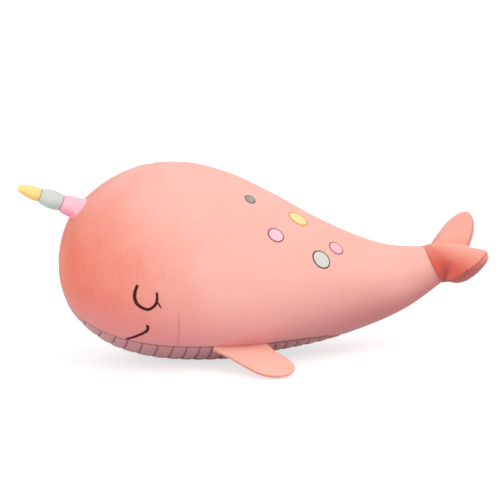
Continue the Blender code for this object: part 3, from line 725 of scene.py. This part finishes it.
belly_stations = station_at(
    np.linspace(*np.interp([BELLY_FRONT, BELLY_BACK], fine_stations, fine_places), BELLY_ROWS)
)
stations, across = np.meshgrid(belly_stations, np.linspace(-1, 1, BELLY_COLUMNS), indexing="ij")
angles = across * belly_half_angle(stations) - TOP
points = stuffed_point(stations, angles)
normals = body_normal(stations, angles)
around = arc_lengths(points, 1)
to_seam = np.minimum(around, around[:, -1:] - around)
rib = np.min(np.abs(points[..., 0:1] - np.array(rib_places)), axis=-1)
fade = 1 - np.exp(-to_seam / RIB_FADE)
valley = np.exp(-rib / RIB_EDGE)
lift = (RIB_SWELL * (1 - valley) - RIB_SINK * valley) * fade
lift -= SEAM_SINK * np.exp(-to_seam / SEAM_WIDTH)
waves = ripple(points[..., 0], BELLY_PITCH, 0.4)
lift += waves * BELLY_PUCKER * np.exp(-to_seam / BELLY_PUCKER_REACH)
# Painted shade along the belly's seam and in its rib grooves
crease_shade = BELLY_SHADE * np.maximum(beside(to_seam, BELLY_SEAM_LINE), beside(rib, RIB_LINE))
points = points + lift[..., None] * normals
points[..., 2] = np.maximum(points[..., 2], 0)
belly = grid_piece("belly", points, mauve, normals, crease_shade)
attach(belly, "body")
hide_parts("belly_panel", "body_stuffing")

# Flippers: two small pillows, each an upper and a lower panel of the coral plush sewn together
# round the edge and turned out, then set into the seam between side and belly at the root.
FLIPPER_ROOT = 0.072
FLIPPER_SPAN = 0.0695
FLIPPER_DROOP = math.radians(18)
FLIPPER_HALF_DEPTH = 0.0082
FLIPPER_FULLEST = 0.44
FLIPPER_TIP = 0.57
FLIPPER_ROOT_POWER = 0.55
FLIPPER_EDGE_POWER = 0.6
FLIPPER_EDGE_STEEPNESS = 40
FLIPPER_RIM = 0.0005
FLIPPER_RIM_SINK = 0.0002
FLIPPER_RIM_SHADE = 0.1
FLIPPER_ROOT_SHADE = 0.6
ROOT_HALF = 0.0023
ROOT_REACH = 0.4
ROOT_SINK = 0.0009
ROOT_LINE = 0.0012
RIM_WIDTH = 0.0013
RIM_LINE = 0.001
RIM_PITCH = 0.0055
RIM_PUCKER = 0.00025
RIM_PUCKER_REACH = 0.005
RIM_SLANT = 0.6
RIM_HOLD = 0.7
THIN_CLOTH = 0.0009
FLIPPER_FORM = (32, 24)
FLIPPER_CROWDING = 0.8
FLIPPER_GRID = (150, 110)
FLIPPER_CAP = 0.0025
FLIPPER_SEWN_ROWS = 3
PILLOW_PRESSURE = 6
PILLOW_STIFFNESS = 15

# Along the span: share of it, middle of the chord and half the chord as shares of the root
flipper_shares = (
    (-0.07, -0.02, 0.500),
    (0.045, 0.03, 0.490),
    (0.12, 0.06, 0.470),
    (0.22, 0.11, 0.455),
    (0.40, 0.195, 0.445),
    (0.58, 0.28, 0.435),
    (0.72, 0.325, 0.405),
    (0.83, 0.34, 0.350),
    (0.91, 0.35, 0.280),
    (0.965, 0.36, 0.200),
    (1.00, 0.365, 0.105),
    (1.008, 0.366, 0.0),
)


def flipper_half_depth(span, chord):
    """How far the filling holds a panel up: flat at the root, then full, round at the tip."""
    grown = np.sin(np.pi * np.clip(span + 0.06, 0.03, 1)) ** FLIPPER_ROOT_POWER
    along = np.where(span < FLIPPER_FULLEST, grown, 1)
    past = np.maximum(span - FLIPPER_FULLEST, 0) / FLIPPER_TIP
    tip = np.sqrt(np.clip(1 - past**2, 0, 1))
    across = np.clip(np.sin(np.pi * chord), 0, 1) ** FLIPPER_EDGE_POWER
    full = FLIPPER_RIM + (FLIPPER_HALF_DEPTH - FLIPPER_RIM) * across * along * tip
    root_fade = np.clip(1 - span / ROOT_REACH, 0, 1)
    sewn_edge = np.clip(np.minimum(chord, 1 - chord) * FLIPPER_EDGE_STEEPNESS, 0, 1)
    return (full + (ROOT_HALF - full) * root_fade**2) * sewn_edge


def across_pillow(count):
    """Places from 0 to 1 across a pillow, closer together towards its two edges."""
    return (1 - np.cos(np.pi * np.linspace(0, 1, count))) / 2


def stuffed_pillow(name, grids, sewn_rows, cap):
    """Swells a pillow that is held fast at its sewn root and nearly so at its rim."""
    held = np.zeros(grids[0].shape[:2])
    held[:sewn_rows] = 1
    held[:, [0, -1]] = RIM_HOLD
    held[-1] = RIM_HOLD
    return inflate(name, grids, [held, held], cap, PILLOW_PRESSURE, PILLOW_STIFFNESS)


def finished_pillow(names, grids, shape, material, rim_sink, rim_shade, root_shade):
    """Draws each half of a pillow finely, with its seam sunk and puckered round the rim."""
    made = []
    for name, grid, sign in zip(names, grids, (1, -1)):
        rows, columns = np.meshgrid(
            np.linspace(0, grid.shape[0] - 1, shape[0]),
            np.linspace(0, grid.shape[1] - 1, shape[1]),
            indexing="ij",
        )
        points = sample(grid, rows, columns)
        normals = grid_normals(points)
        if (normals * sign * grid_normals(grids[0]).mean((0, 1))).sum() < 0:
            normals = -normals
        across = arc_lengths(points, 1)
        down = arc_lengths(points, 0)
        to_rim = np.minimum(np.minimum(across, across[:, -1:] - across), down[-1:] - down)
        sunk = rim_sink * np.exp(-to_rim / RIM_WIDTH) + ROOT_SINK * np.exp(-down / RIM_WIDTH)
        waves = RIM_PUCKER * ripple(down + RIM_SLANT * across, RIM_PITCH, sign)
        waves *= np.exp(-to_rim / RIM_PUCKER_REACH) * (1 - np.exp(-to_rim / RIM_LINE))
        points = points + (waves - sunk)[..., None] * normals
        # Painted shade along the rim seam and along the root
        crease_shade = rim_shade * beside(to_rim, RIM_LINE)
        crease_shade = np.maximum(crease_shade, root_shade * beside(down, ROOT_LINE))
        made.append(grid_piece(name, points, material, normals, crease_shade, wall=THIN_CLOTH))
    return made


def hinge(name):
    """The joint that a sewn-on piece bends about."""
    return next(joint for joint in frame["joints"] if joint["name"] == name)


# Painted shade: the seam colour in creases, and a more saturated orange where the flipper faces
# down
flipper_coral = velour("flipper_velour", "#fdbfae", "#f09a88", CORAL_CREASE_SHADE, "#ffa896")
for side, label in ((-1, "left"), (1, "right")):
    joint = hinge(f"flipper_{label}_bend")
    root = Vector(joint["pos_m"])
    back = Vector(joint["axis"]) * side
    level_out = Vector((0, 0, side)).cross(back).normalized()
    rise = level_out.cross(back).normalized() * -side
    out = level_out * math.cos(FLIPPER_DROOP) - rise * math.sin(FLIPPER_DROOP)
    up = back.cross(out) * side
    rows = np.linspace(0, 1, FLIPPER_FORM[0]) ** FLIPPER_CROWDING * (len(flipper_shares) - 1)
    spans, centres, halves = (curve_through(column, rows) for column in zip(*flipper_shares))
    span, chord = np.meshgrid(spans, across_pillow(FLIPPER_FORM[1]), indexing="ij")
    along = FLIPPER_ROOT * (centres[:, None] + np.maximum(halves, 0)[:, None] * (2 * chord - 1))
    flat = np.array(root) + along[..., None] * np.array(back)
    flat = flat + (span * FLIPPER_SPAN)[..., None] * np.array(out)
    half = flipper_half_depth(span, chord)
    half[-1] = 0
    grids = [flat + sign * half[..., None] * np.array(up) for sign in (1, -1)]
    grids = stuffed_pillow(f"flipper_{label}_form", grids, FLIPPER_SEWN_ROWS, FLIPPER_CAP)
    pieces = finished_pillow(
        (f"flipper_{label}_top", f"flipper_{label}_under"),
        grids,
        FLIPPER_GRID,
        flipper_coral,
        FLIPPER_RIM_SINK,
        FLIPPER_RIM_SHADE,
        FLIPPER_ROOT_SHADE,
    )
    for piece, cad in zip(pieces, (f"flipper_{label}_upper", f"flipper_{label}_lower")):
        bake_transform(piece)
        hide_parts(cad)
    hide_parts(f"flipper_{label}_stuffing")
    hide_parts(f"flipper_{label}_root_seam")

# Fluke: the two-lobed tail, an upper and a lower panel of the coral plush sewn to each other
# round the lobes and to the body's open end, where the cloth takes the bend.
FLUKE_LENGTH = 0.049
FLUKE_HALF_SPAN = 0.071
FLUKE_PITCH = math.radians(25)
FLUKE_ROLL = math.radians(8)
FLUKE_YAW = math.radians(11.7)
LOBE_LIFT = math.radians(4.5)
FLUKE_SEAM_ANGLE = math.radians(-63)
FLUKE_FORM = (26, 46)
FLUKE_GRID = (150, 230)
FLUKE_CAP = 0.002
FLUKE_RIM_SINK = 0.0006
FLUKE_RIM_SHADE = 0.45

# How the leading edges bow, the far one nearer its tip, and how the near rim curls up
NEAR_LEAD_BOW = 0.010
NEAR_BOW_POWER = 1.5
FAR_LEAD_BOW = 0.028
FAR_BOW_POWER = 2.2
NEAR_RIM_RISE = 0.0065

# How full the lobes are, and how steeply they swell from the neck and from the rim
UPPER_BULGE = 0.0145
NEAR_UNDER_BULGE = 0.0185
FAR_UNDER_BULGE = 0.010
UPPER_FLATNESS = 3
NEAR_UNDER_FLATNESS = 8
UPPER_NECK_SLOPE = 0.9
FAR_NECK_SLOPE = 1.3
UNDER_NECK_SLOPE = 1.9
UPPER_RIM_SLOPE = 0.5
UNDER_RIM_SLOPE = 0.38
MIDDLE_FILL = 0.25
MIDDLE_WIDTH = 0.45
FAR_FADE = 0.5
FAR_START = 0.3

# How far the fluke's cloth laps over the end of the body, and how it is eased into the lobes
NECK_LAP = 0.007
NECK_TOP_LAP = 0.003
NECK_LEAST = 0.002
NECK_STAND = 0.0006
NECK_TUCK = 2.5
NECK_ROWS = 6
NECK_SHADE = 0.9
NECK_SHADE_START = 0.5
EASED_ROWS = 15
EASED_START = 0.3
EASINGS = 50
EASING = 0.5
FLANK_WIDTH = 0.3

# Across each lobe, then how far out and how far back its trailing edge lies there
across_shares = (0, 0.18, 0.38, 0.56, 0.72, 0.84, 0.93, 1)
near_out_shares = (0, 0.22, 0.45, 0.66, 0.83, 0.92, 0.955, 0.93)
near_back_shares = (0, 0.04, 0.11, 0.2, 0.23, 0.15, -0.03, -0.24)
far_out_shares = (0, 0.22, 0.45, 0.66, 0.83, 0.95, 1.01, 0.995)
far_back_shares = (0, 0.24, 0.375, 0.42, 0.37, 0.22, 0.02, -0.22)

tail_top = body_point(np.array(TAIL_STATION), np.array(TOP))
tail_bottom = body_point(np.array(TAIL_STATION), np.array(-TOP))
fluke_root = Vector((tail_top + tail_bottom) / 2)
tail_back = Vector((math.cos(TAIL_TILT), 0, math.sin(TAIL_TILT)))
tail_up = Vector((-math.sin(TAIL_TILT), 0, math.cos(TAIL_TILT)))
notch = fluke_root + tail_back * FLUKE_LENGTH
level_back = tail_back * math.cos(FLUKE_PITCH) + tail_up * math.sin(FLUKE_PITCH)
level_up = tail_up * math.cos(FLUKE_PITCH) - tail_back * math.sin(FLUKE_PITCH)
rolled_out = Vector((0, math.cos(FLUKE_ROLL), 0)) + level_up * math.sin(FLUKE_ROLL)
fluke_up = np.array(level_up * math.cos(FLUKE_ROLL) - Vector((0, math.sin(FLUKE_ROLL), 0)))
fluke_out = np.array(rolled_out * math.cos(FLUKE_YAW) + level_back * math.sin(FLUKE_YAW))
fluke_back = np.array(level_back * math.cos(FLUKE_YAW) - rolled_out * math.sin(FLUKE_YAW))


def neck_angle(size, upper):
    """The angle round the body's end, a share of the way from its top or bottom to the rim."""
    if upper:
        return TOP - size * (TOP - FLUKE_SEAM_ANGLE)
    return -TOP + size * (TOP + FLUKE_SEAM_ANGLE)


def fluke_point(chord, across, upper):
    """Points of the fluke's upper or lower skin, from the tail's end to the trailing edge."""
    station = np.full(chord.shape, float(TAIL_STATION))
    size = np.abs(across)
    side = np.where(across > 0, 1, -1)
    ring = body_point(station, neck_angle(size, upper))
    ring[..., 1] *= side
    seam = body_point(station, np.full(chord.shape, FLUKE_SEAM_ANGLE))
    seam[..., 1] *= across
    place = np.interp(size, across_shares, range(len(across_shares)))
    near_out, far_out, near_back, far_back = (
        curve_through(shares, place) * FLUKE_HALF_SPAN
        for shares in (near_out_shares, far_out_shares, near_back_shares, far_back_shares)
    )
    out = np.where(across > 0, far_out, near_out)
    back = np.where(across > 0, far_back, near_back)
    trail = np.array(notch) + fluke_out * (side * out)[..., None] + fluke_back * back[..., None]
    trail = trail + fluke_up * (out * math.tan(LOBE_LIFT))[..., None]
    near_bow = NEAR_LEAD_BOW * np.sin(np.pi * chord**NEAR_BOW_POWER)
    far_bow = FAR_LEAD_BOW * np.sin(np.pi * chord**FAR_BOW_POWER)
    bow = np.where(across > 0, far_bow, near_bow) * size**2
    rise = np.where(across > 0, 0, NEAR_RIM_RISE) * size**5 * np.sin(TOP * chord)
    middle = seam + (trail - seam) * chord[..., None] - fluke_back * bow[..., None]
    middle = middle + fluke_up * rise[..., None]
    far = np.clip(across / FAR_START, 0, 1)
    if upper:
        neck_slope, rim_slope = UPPER_NECK_SLOPE + FAR_NECK_SLOPE * far, UPPER_RIM_SLOPE
        bulge, flatness = UPPER_BULGE, UPPER_FLATNESS
    else:
        neck_slope, rim_slope = UNDER_NECK_SLOPE, UNDER_RIM_SLOPE
        fuller = (NEAR_UNDER_BULGE - FAR_UNDER_BULGE) * (1 - across) / 2
        bulge = -(FAR_UNDER_BULGE + fuller)
        flatness = np.where(across < 0, NEAR_UNDER_FLATNESS, UPPER_FLATNESS)
    swell = np.clip(4 * chord * (1 - chord), 0, 1) ** np.where(chord < 0.5, neck_slope, rim_slope)
    swell = swell * np.clip(1 - size**flatness, 0, 1) ** 0.5
    from_middle = np.sin(TOP * np.minimum(size / MIDDLE_WIDTH, 1))
    swell = swell * (MIDDLE_FILL + (1 - MIDDLE_FILL) * from_middle)
    fade = (1 - chord) ** (1 + FAR_FADE * far)
    return middle + (ring - seam) * fade[..., None] + fluke_up * (bulge * swell)[..., None]


across_places = np.sin(TOP * np.linspace(-1, 1, FLUKE_FORM[1]))
chord, across = np.meshgrid(across_pillow(FLUKE_FORM[0]), across_places, indexing="ij")
grids = [fluke_point(chord, across, upper) for upper in (True, False)]
grids = stuffed_pillow("fluke_form", grids, 1, FLUKE_CAP)
size = np.abs(across_places)
laps = (1 - np.arange(NECK_ROWS) / NECK_ROWS)[:, None]
ease = EASING * np.clip((size - EASED_START) / FLANK_WIDTH, 0, 1)[:, None]
for number, upper in enumerate((True, False)):
    angle = neck_angle(size, upper)
    lap = NECK_LEAST + NECK_LAP * np.cos(angle) ** 2 + NECK_TOP_LAP * np.maximum(np.sin(angle), 0)
    station = station_at(BODY_LENGTH - lap * laps)
    angle = np.broadcast_to(angle, station.shape)
    skin = body_point(station, angle)
    proud = (NECK_STAND * (1 - NECK_TUCK * np.sin(angle) ** 4))[..., None]
    stand = stuffed_point(station, angle) + proud * body_normal(station, angle) - skin
    neck = skin + stand * np.sin(TOP * laps)[..., None]
    neck[..., 1] *= np.where(across_places > 0, 1, -1)
    grid = np.concatenate([neck, grids[number]])
    for _ in range(EASINGS):
        between_rows = (grid[: EASED_ROWS - 1] + grid[2 : EASED_ROWS + 1]) / 2
        grid[1:EASED_ROWS] += ease * (between_rows - grid[1:EASED_ROWS])
    grids[number] = grid
fluke_columns = np.abs(np.linspace(-1, 1, FLUKE_GRID[1]))
# Painted shade: deeper towards the bottom of the fluke, dark mauve where it faces down, and the
# seam colour in creases
fluke_coral = velour(
    "fluke_velour",
    "#fbae9b",
    "#dc6250",
    CORAL_CREASE_SHADE,
    "#93484c",
    gradient=((0.335, 0.1), (0.345, 0.143)),
)
pieces = finished_pillow(
    ("fluke_top", "fluke_under"),
    grids,
    FLUKE_GRID,
    fluke_coral,
    FLUKE_RIM_SINK,
    FLUKE_RIM_SHADE,
    NECK_SHADE * np.clip((fluke_columns - NECK_SHADE_START) / FLANK_WIDTH, 0, 1),
)
for piece, cad in zip(pieces, ("fluke_upper", "fluke_lower")):
    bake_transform(piece)
    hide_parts(cad)
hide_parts("fluke_stuffing")

# Horn: three short tubes of plush, pink, mint and yellow, sewn end to end, stuffed and sewn
# into the head. The seams between them are drawn in and pucker the cloth a little.
HORN_LENGTH = 0.0799
HORN_RISE = math.radians(21.3)
HORN_SEAT = 0.002
PINK_END = 0.0213
MINT_END = 0.0505
BASE_FLARE = 0.0166
HORN_BASE_RADIUS = 0.0125
PINK_BULGE = 0.013
PINCH_ONE = 0.0105
MINT_BULGE = 0.0118
PINCH_TWO = 0.0084
YELLOW_BULGE = 0.0088
HORN_RINGS = 80
HORN_COLUMNS = 96
HORN_TUCK = 0.0012
HORN_SEAM_SINK = 0.0009
HORN_SEAM_WIDTH = 0.0011
HORN_SEAM_LINE = 0.0009
HORN_SEAM_SHADE = 0.7
HORN_PUCKER = 0.00028
HORN_PUCKER_REACH = 0.004
FLARE_REACH = 0.13
ABOVE_HEAD = 0.04
TIP_ROUND_SHARE = 0.14
tip_shares = (0.95, 1.0, 0.96, 0.86, 0.74, 0.61, 0.48)

horn_pivot = Vector(hinge("horn_bend")["pos_m"])
horn_axis = Vector((-math.cos(HORN_RISE), 0, math.sin(HORN_RISE)))
horn_foot = horn_pivot - horn_axis * HORN_SEAT
horn_side = Vector((0, 1, 0))
horn_up = horn_axis.cross(horn_side)
spokes = np.linspace(0, 2 * math.pi, HORN_COLUMNS + 1)
spoke_lines = np.outer(np.cos(spokes), horn_side) + np.outer(np.sin(spokes), horn_up)


def head_distance(radius):
    """How far along the horn the head's skin lies under each spoke at this radius."""
    found = []
    for line in spoke_lines:
        start = horn_foot + horn_axis * ABOVE_HEAD + Vector(line) * radius
        reaches = []
        for label in ("left", "right"):
            hit, place, _, _ = bpy.data.objects[f"side_{label}"].ray_cast(start, -horn_axis)
            if hit:
                reaches.append((place - horn_foot).dot(horn_axis))
        found.append(max(reaches, default=0))
    return np.array(found)


def horn_band(name, starts, ends, radii, material, seed):
    """A tube between two rings, with its radius as a function of the share of its length."""
    shares = np.sin(TOP * np.linspace(0, 1, HORN_RINGS))[:, None]
    distances = starts + (ends - starts) * shares
    radius = radii(shares) + 0 * distances
    length = float(np.mean(ends - starts))
    to_end = shares * length if name == "horn_yellow" else np.minimum(shares, 1 - shares) * length
    tucks = np.cos(spokes * 11 + seed) * 0.6 + np.cos(spokes * 7 + 2 * seed) * 0.4
    radius = radius - HORN_SEAM_SINK * np.exp(-to_end / HORN_SEAM_WIDTH)
    radius = radius + HORN_PUCKER * tucks * np.exp(-to_end / HORN_PUCKER_REACH)
    points = (
        np.array(horn_foot)
        + distances[..., None] * np.array(horn_axis)
        + radius[..., None] * spoke_lines[None]
    )
    points[:, -1] = points[:, 0]
    normals = np.broadcast_to(spoke_lines[None], points.shape)
    crease_shade = HORN_SEAM_SHADE * beside(to_end, HORN_SEAM_LINE) + 0 * radius
    return grid_piece(name, points, material, normals, crease_shade, wall=THIN_CLOTH)


def between(base, middle, top):
    """Radii that swell between two stitched ends."""
    return lambda t: base + (top - base) * t + (middle - (base + top) / 2) * np.sin(np.pi * t)


def yellow_radii(t):
    """The tip band: it narrows evenly and closes in a round end."""
    past = np.clip((t - 1 + TIP_ROUND_SHARE) / TIP_ROUND_SHARE, 0, 1)
    taper = curve_through(tip_shares, t * (len(tip_shares) - 1))
    return YELLOW_BULGE * taper * np.sqrt(1 - past**2)


def pink_radii(t):
    """The lowest band: it flares where it is sewn to the head."""
    flare = (BASE_FLARE - HORN_BASE_RADIUS) * np.exp(-t / FLARE_REACH)
    return between(HORN_BASE_RADIUS, PINK_BULGE, PINCH_ONE)(t) + flare


mint_radii = between(PINCH_ONE, MINT_BULGE, PINCH_TWO)

# The horn's bands are the same velour in paler dyes, with painted shade a little deeper at the
# seams and where they face down
pink_velour = velour("pink_velour", "#fdcbd9", "#faa4c6", "#d8688f", "#fb8cb6")
mint_velour = velour("mint_velour", "#d5dcd4", "#b6cfc9", "#93aca6", "#abcbc6")
yellow_velour = velour("yellow_velour", "#fde595", "#f6d067", "#c79d40", "#f3c65a")
head = head_distance(BASE_FLARE) - HORN_TUCK
pink_end, mint_end, horn_end = (
    np.full(HORN_COLUMNS + 1, distance) for distance in (PINK_END, MINT_END, HORN_LENGTH)
)
bands = (
    ("horn_pink", head, pink_end, pink_radii, pink_velour, 1),
    ("horn_mint", pink_end, mint_end, mint_radii, mint_velour, 2),
    ("horn_yellow", mint_end, horn_end, yellow_radii, yellow_velour, 3),
)
for name, starts, ends, radii, material, seed in bands:
    band = horn_band(name, starts, ends, radii, material, seed)
    cad = name.replace("horn_", "horn_band_")
    if name == "horn_pink":
        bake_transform(band)
    else:
        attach(band, "horn")
    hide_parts(cad)
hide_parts("horn_stuffing")

# Face: a closed eye, its lash and a smile on each cheek, machine embroidered in satin stitch
# with a maroon polyester thread that lies across the line and stands about a millimetre proud.
STITCH_PITCH = 0.0005
STITCH_RIDGE = 0.00012
STITCH_RAG = 0.00014
STITCH_GRAIN = 0.0009
THREAD_STEPS = 16
LINE_STEPS = 400
RING_STEPS = 700
THREAD_HEIGHT = 0.0011
THREAD_END_SHARE = 0.35
THREAD_ROUGHNESS = 0.6
THREAD_SPECULAR = 0.25
EYE_PLACE = (0.0942, math.radians(-20.9))
EYE_WIDTH = 0.0265
EYE_HEIGHT = 0.031
EYE_WIDTHS = (0.0034, 0.0043, 0.0042, 0.0036, 0.0028)
LASH_WIDTHS = (0.0022, 0.0018, 0.0014)
MOUTH_PLACE = (0.0954, math.radians(-31.9))
MOUTH_LENGTH = 0.0235
MOUTH_HEIGHT = 0.0335
MOUTH_WIDTHS = (0.0034, 0.004, 0.004, 0.0034)

# Each line's path, back and up, as shares of its width and height
eye_shares = (
    (-0.46, 1.02),
    (-0.57, 0.71),
    (-0.57, 0.41),
    (-0.41, 0.15),
    (0.0, 0.0),
    (0.28, 0.15),
    (0.41, 0.36),
    (0.43, 0.55),
    (0.41, 0.79),
)
lash_shares = ((0.45, 0.36), (0.53, 0.25), (0.64, 0.12))
mouth_shares = ((0.0, 0.02), (0.05, -0.2), (-0.12, -0.4), (-0.42, -0.62), (-0.95, -1.01))


def on_skin(label, place, forward, rise, lift):
    """Points above a side panel, moved back along it and up round it from a marked place."""
    side_stations, points, normals = side_skins[label]
    station = station_at(place[0] + forward)
    angle = np.full(np.shape(station), place[1])
    turn = raw_body(station, angle + SMALL_STEP) - raw_body(station, angle - SMALL_STEP)
    turned = angle + rise * 2 * SMALL_STEP / np.linalg.norm(turn, axis=-1)
    rows = np.interp(station, side_stations, np.arange(SIDE_ROWS))
    bottom = belly_half_angle(station) - TOP
    columns = (TOP - turned) / (TOP - bottom) * (SIDE_COLUMNS - 1)
    return sample(points, rows, columns) + lift[..., None] * sample(normals, rows, columns)


def satin_thread(name, thread_colour, shade_colour):
    """Polyester embroidery thread: each stitch is a fine roll, darker in short random streaks,
    with painted shade between the stitches and under each roll.
    """
    material = empty_material(name)
    place = node(material, "TexCoord").outputs["Object"]
    noise = node(
        material, "TexNoise", Vector=place, Scale=1 / STITCH_GRAIN, Detail=2.0
    ).outputs["Fac"]
    crease_shade = node(material, "Attribute", {"attribute_name": "crease_shade"}).outputs["Fac"]
    depth = node(
        material,
        "Math",
        {"operation": "MULTIPLY_ADD", "use_clamp": True},
        _0=noise,
        _1=0.5,
        _2=crease_shade,
    ).outputs[0]
    colour = node(material, "Mix", MIXED, _0=depth, _6=thread_colour, _7=shade_colour).outputs[2]
    shader = node(
        material,
        "BsdfPrincipled",
        Base_Color=colour,
        Roughness=THREAD_ROUGHNESS,
        Specular_IOR_Level=THREAD_SPECULAR,
    )
    node(material, "OutputMaterial", Surface=shader.outputs[0])
    return material


def satin_line(name, label, place, path, widths, material, closed=False, height=THREAD_HEIGHT):
    """A raised line of satin stitch along a path of (back, up) distances on a side panel."""
    if closed:
        round_again = np.concatenate([path[-3:], path, path[:3]])
        dense = curve_through(round_again, np.linspace(3, len(path) + 3, RING_STEPS))
    else:
        dense = curve_through(path, np.linspace(0, len(path) - 1, LINE_STEPS), True)
    steps = np.linalg.norm(np.diff(dense, axis=0), axis=1)
    run = np.concatenate([[0], np.cumsum(steps)])
    count = max(int(run[-1] / (STITCH_PITCH / 3)), 12)
    places = np.linspace(0, run[-1], count + 1)
    line = np.stack([np.interp(places, run, dense[:, i]) for i in range(2)], -1)
    tangent = np.gradient(line, axis=0)
    if closed:
        tangent[0] = tangent[-1] = line[1] - line[-2]
    tangent /= np.linalg.norm(tangent, axis=1, keepdims=True)
    across = np.stack([-tangent[:, 1], tangent[:, 0]], -1)
    width = np.interp(places / run[-1], np.linspace(0, 1, len(widths)), widths)
    from_end = np.minimum(places, run[-1] - places) if not closed else np.full(places.shape, 1.0)
    rounding = np.sqrt(np.clip(1 - (1 - np.clip(from_end / (width / 2), 0, 1)) ** 2, 0, 1))
    stitch = places / STITCH_PITCH
    ridge = np.abs(np.sin(np.pi * stitch))
    sides = [width / 2 + STITCH_RAG * np.sin(np.floor(stitch) * seed) for seed in (12.9, 78.2)]
    turns = np.linspace(0, 2 * math.pi, THREAD_STEPS + 1)
    sideways, lifted = -np.cos(turns), np.clip(np.sin(turns), -0.12, 1)
    half = np.where(sideways[None] > 0, sides[0][:, None], sides[1][:, None])
    offset = half * sideways[None] * rounding[:, None]
    fullness = THREAD_END_SHARE + (1 - THREAD_END_SHARE) * rounding
    lift = (height * fullness)[:, None] * lifted[None]
    lift = lift + STITCH_RIDGE * (ridge[:, None] - 1) * (lifted[None] > 0)
    forward = line[:, :1] + across[:, :1] * offset
    rise = line[:, 1:] + across[:, 1:] * offset
    points = on_skin(label, place, forward, rise, lift)
    points[:, -1] = points[:, 0]
    if closed:
        points[-1] = points[0]
    else:
        points[0] = points[0].mean(0)
        points[-1] = points[-1].mean(0)
    # Painted shade between the stitches and on the lower side of each roll
    crease_shade = 0.6 * (1 - ridge)[:, None] + 0.4 * (1 - np.clip(lifted, 0, 1))[None]
    return grid_piece(name, points, material, None, crease_shade)


# Maroon thread, and its painted shade between stitches and under each roll
maroon = satin_thread("maroon_thread", "#5c0a0e", "#2e0306")
face_rows = (
    ("eye", EYE_PLACE, eye_shares, (EYE_WIDTH, EYE_HEIGHT), EYE_WIDTHS),
    ("eyelash", EYE_PLACE, lash_shares, (EYE_WIDTH, EYE_HEIGHT), LASH_WIDTHS),
    ("mouth", MOUTH_PLACE, mouth_shares, (MOUTH_LENGTH, MOUTH_HEIGHT), MOUTH_WIDTHS),
)
for label in ("left", "right"):
    for name, place, shares, size, widths in face_rows:
        path = np.array(shares) * size
        line = satin_line(f"{name}_stitching_{label}", label, place, path, widths, maroon)
        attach(line, "body")
        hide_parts(f"{name}_{label}")

# Spots: five flat patches of a smoother velour on each flank, fixed by a narrow satin stitch
# edging in a deeper thread. The pile is about half as long as the body's, so its grain is finer.
EDGING_WIDTH = 0.0018
EDGING_HEIGHT = 0.0009
PATCH_HEIGHT = 0.0005
PATCH_CROWN = 0.0007
PATCH_CLOTH = 0.0004
PATCH_GRAIN = 0.0008
SPOT_RINGS = 24
SPOT_STEPS = 96

# Name, distance behind the nose, degrees up, long and short axis, tilt, the cloth's pale and deep
# colours (the deep one also its painted shade where it faces down), the edging's colour and its
# painted shade
spot_rows = (
    ("grey", 0.2355, 55.4, 0.0148, 0.0114, 50, "#a8a296", "#7f8c80", "#84897f", "#5d635c"),
    ("yellow", 0.3020, 57.0, 0.0261, 0.0204, 24, "#fde6a4", "#fbd67c", "#e9cc4e", "#c6a02e"),
    ("pink", 0.2622, 32.7, 0.0216, 0.0171, 25, "#fbcbd8", "#f6b2c6", "#b4607c", "#8c3c5a"),
    ("rose", 0.3524, 40.4, 0.0201, 0.0164, 10, "#fdc6d0", "#f8adbd", "#d6788f", "#ac5068"),
    ("mint", 0.3255, 24.5, 0.0245, 0.0222, 8, "#dcdcd4", "#c2d0ca", "#5a5a5a", "#3c3c3c"),
)
for name, along, degrees, long_axis, short_axis, tilt, pale, deep, thread, dark in spot_rows:
    cloth = velour(f"{name}_spot_cloth", pale, deep, dark, deep, grain=PATCH_GRAIN)
    edge_thread = satin_thread(f"{name}_edging_thread", thread, dark)
    place = (along, math.radians(degrees))
    cos, sin = math.cos(math.radians(tilt)), math.sin(math.radians(tilt))
    angles = np.linspace(0, 2 * math.pi, SPOT_STEPS + 1)
    x, y = long_axis / 2 * np.cos(angles), short_axis / 2 * np.sin(angles)
    rim = np.stack([x * cos - y * sin, x * sin + y * cos], -1)
    shares = np.linspace(0, 1, SPOT_RINGS)[:, None]
    crown = PATCH_HEIGHT + PATCH_CROWN * (1 - shares**4) + 0 * x
    crown[-1] = 0
    forward, rise = (shares * rim[:, i] * (1 - EDGING_WIDTH / 3 / short_axis) for i in (0, 1))
    for label in ("left", "right"):
        points = on_skin(label, place, forward, rise, crown)
        points[:, -1] = points[:, 0]
        centre = on_skin(label, place, np.zeros(1), np.zeros(1), np.ones(1))[0]
        outward = np.broadcast_to(centre - points[0, 0], points.shape)
        spot = f"spot_{name}_{label}"
        patch = grid_piece(spot, points, cloth, outward, 0 * crown, wall=PATCH_CLOTH)
        edging = satin_line(
            f"{spot}_edge",
            label,
            place,
            rim[:-1:4],
            (EDGING_WIDTH, EDGING_WIDTH),
            edge_thread,
            closed=True,
            height=EDGING_HEIGHT,
        )
        for piece, cad in ((patch, spot), (edging, f"{spot}_edging")):
            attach(piece, "body")
            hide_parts(cad)
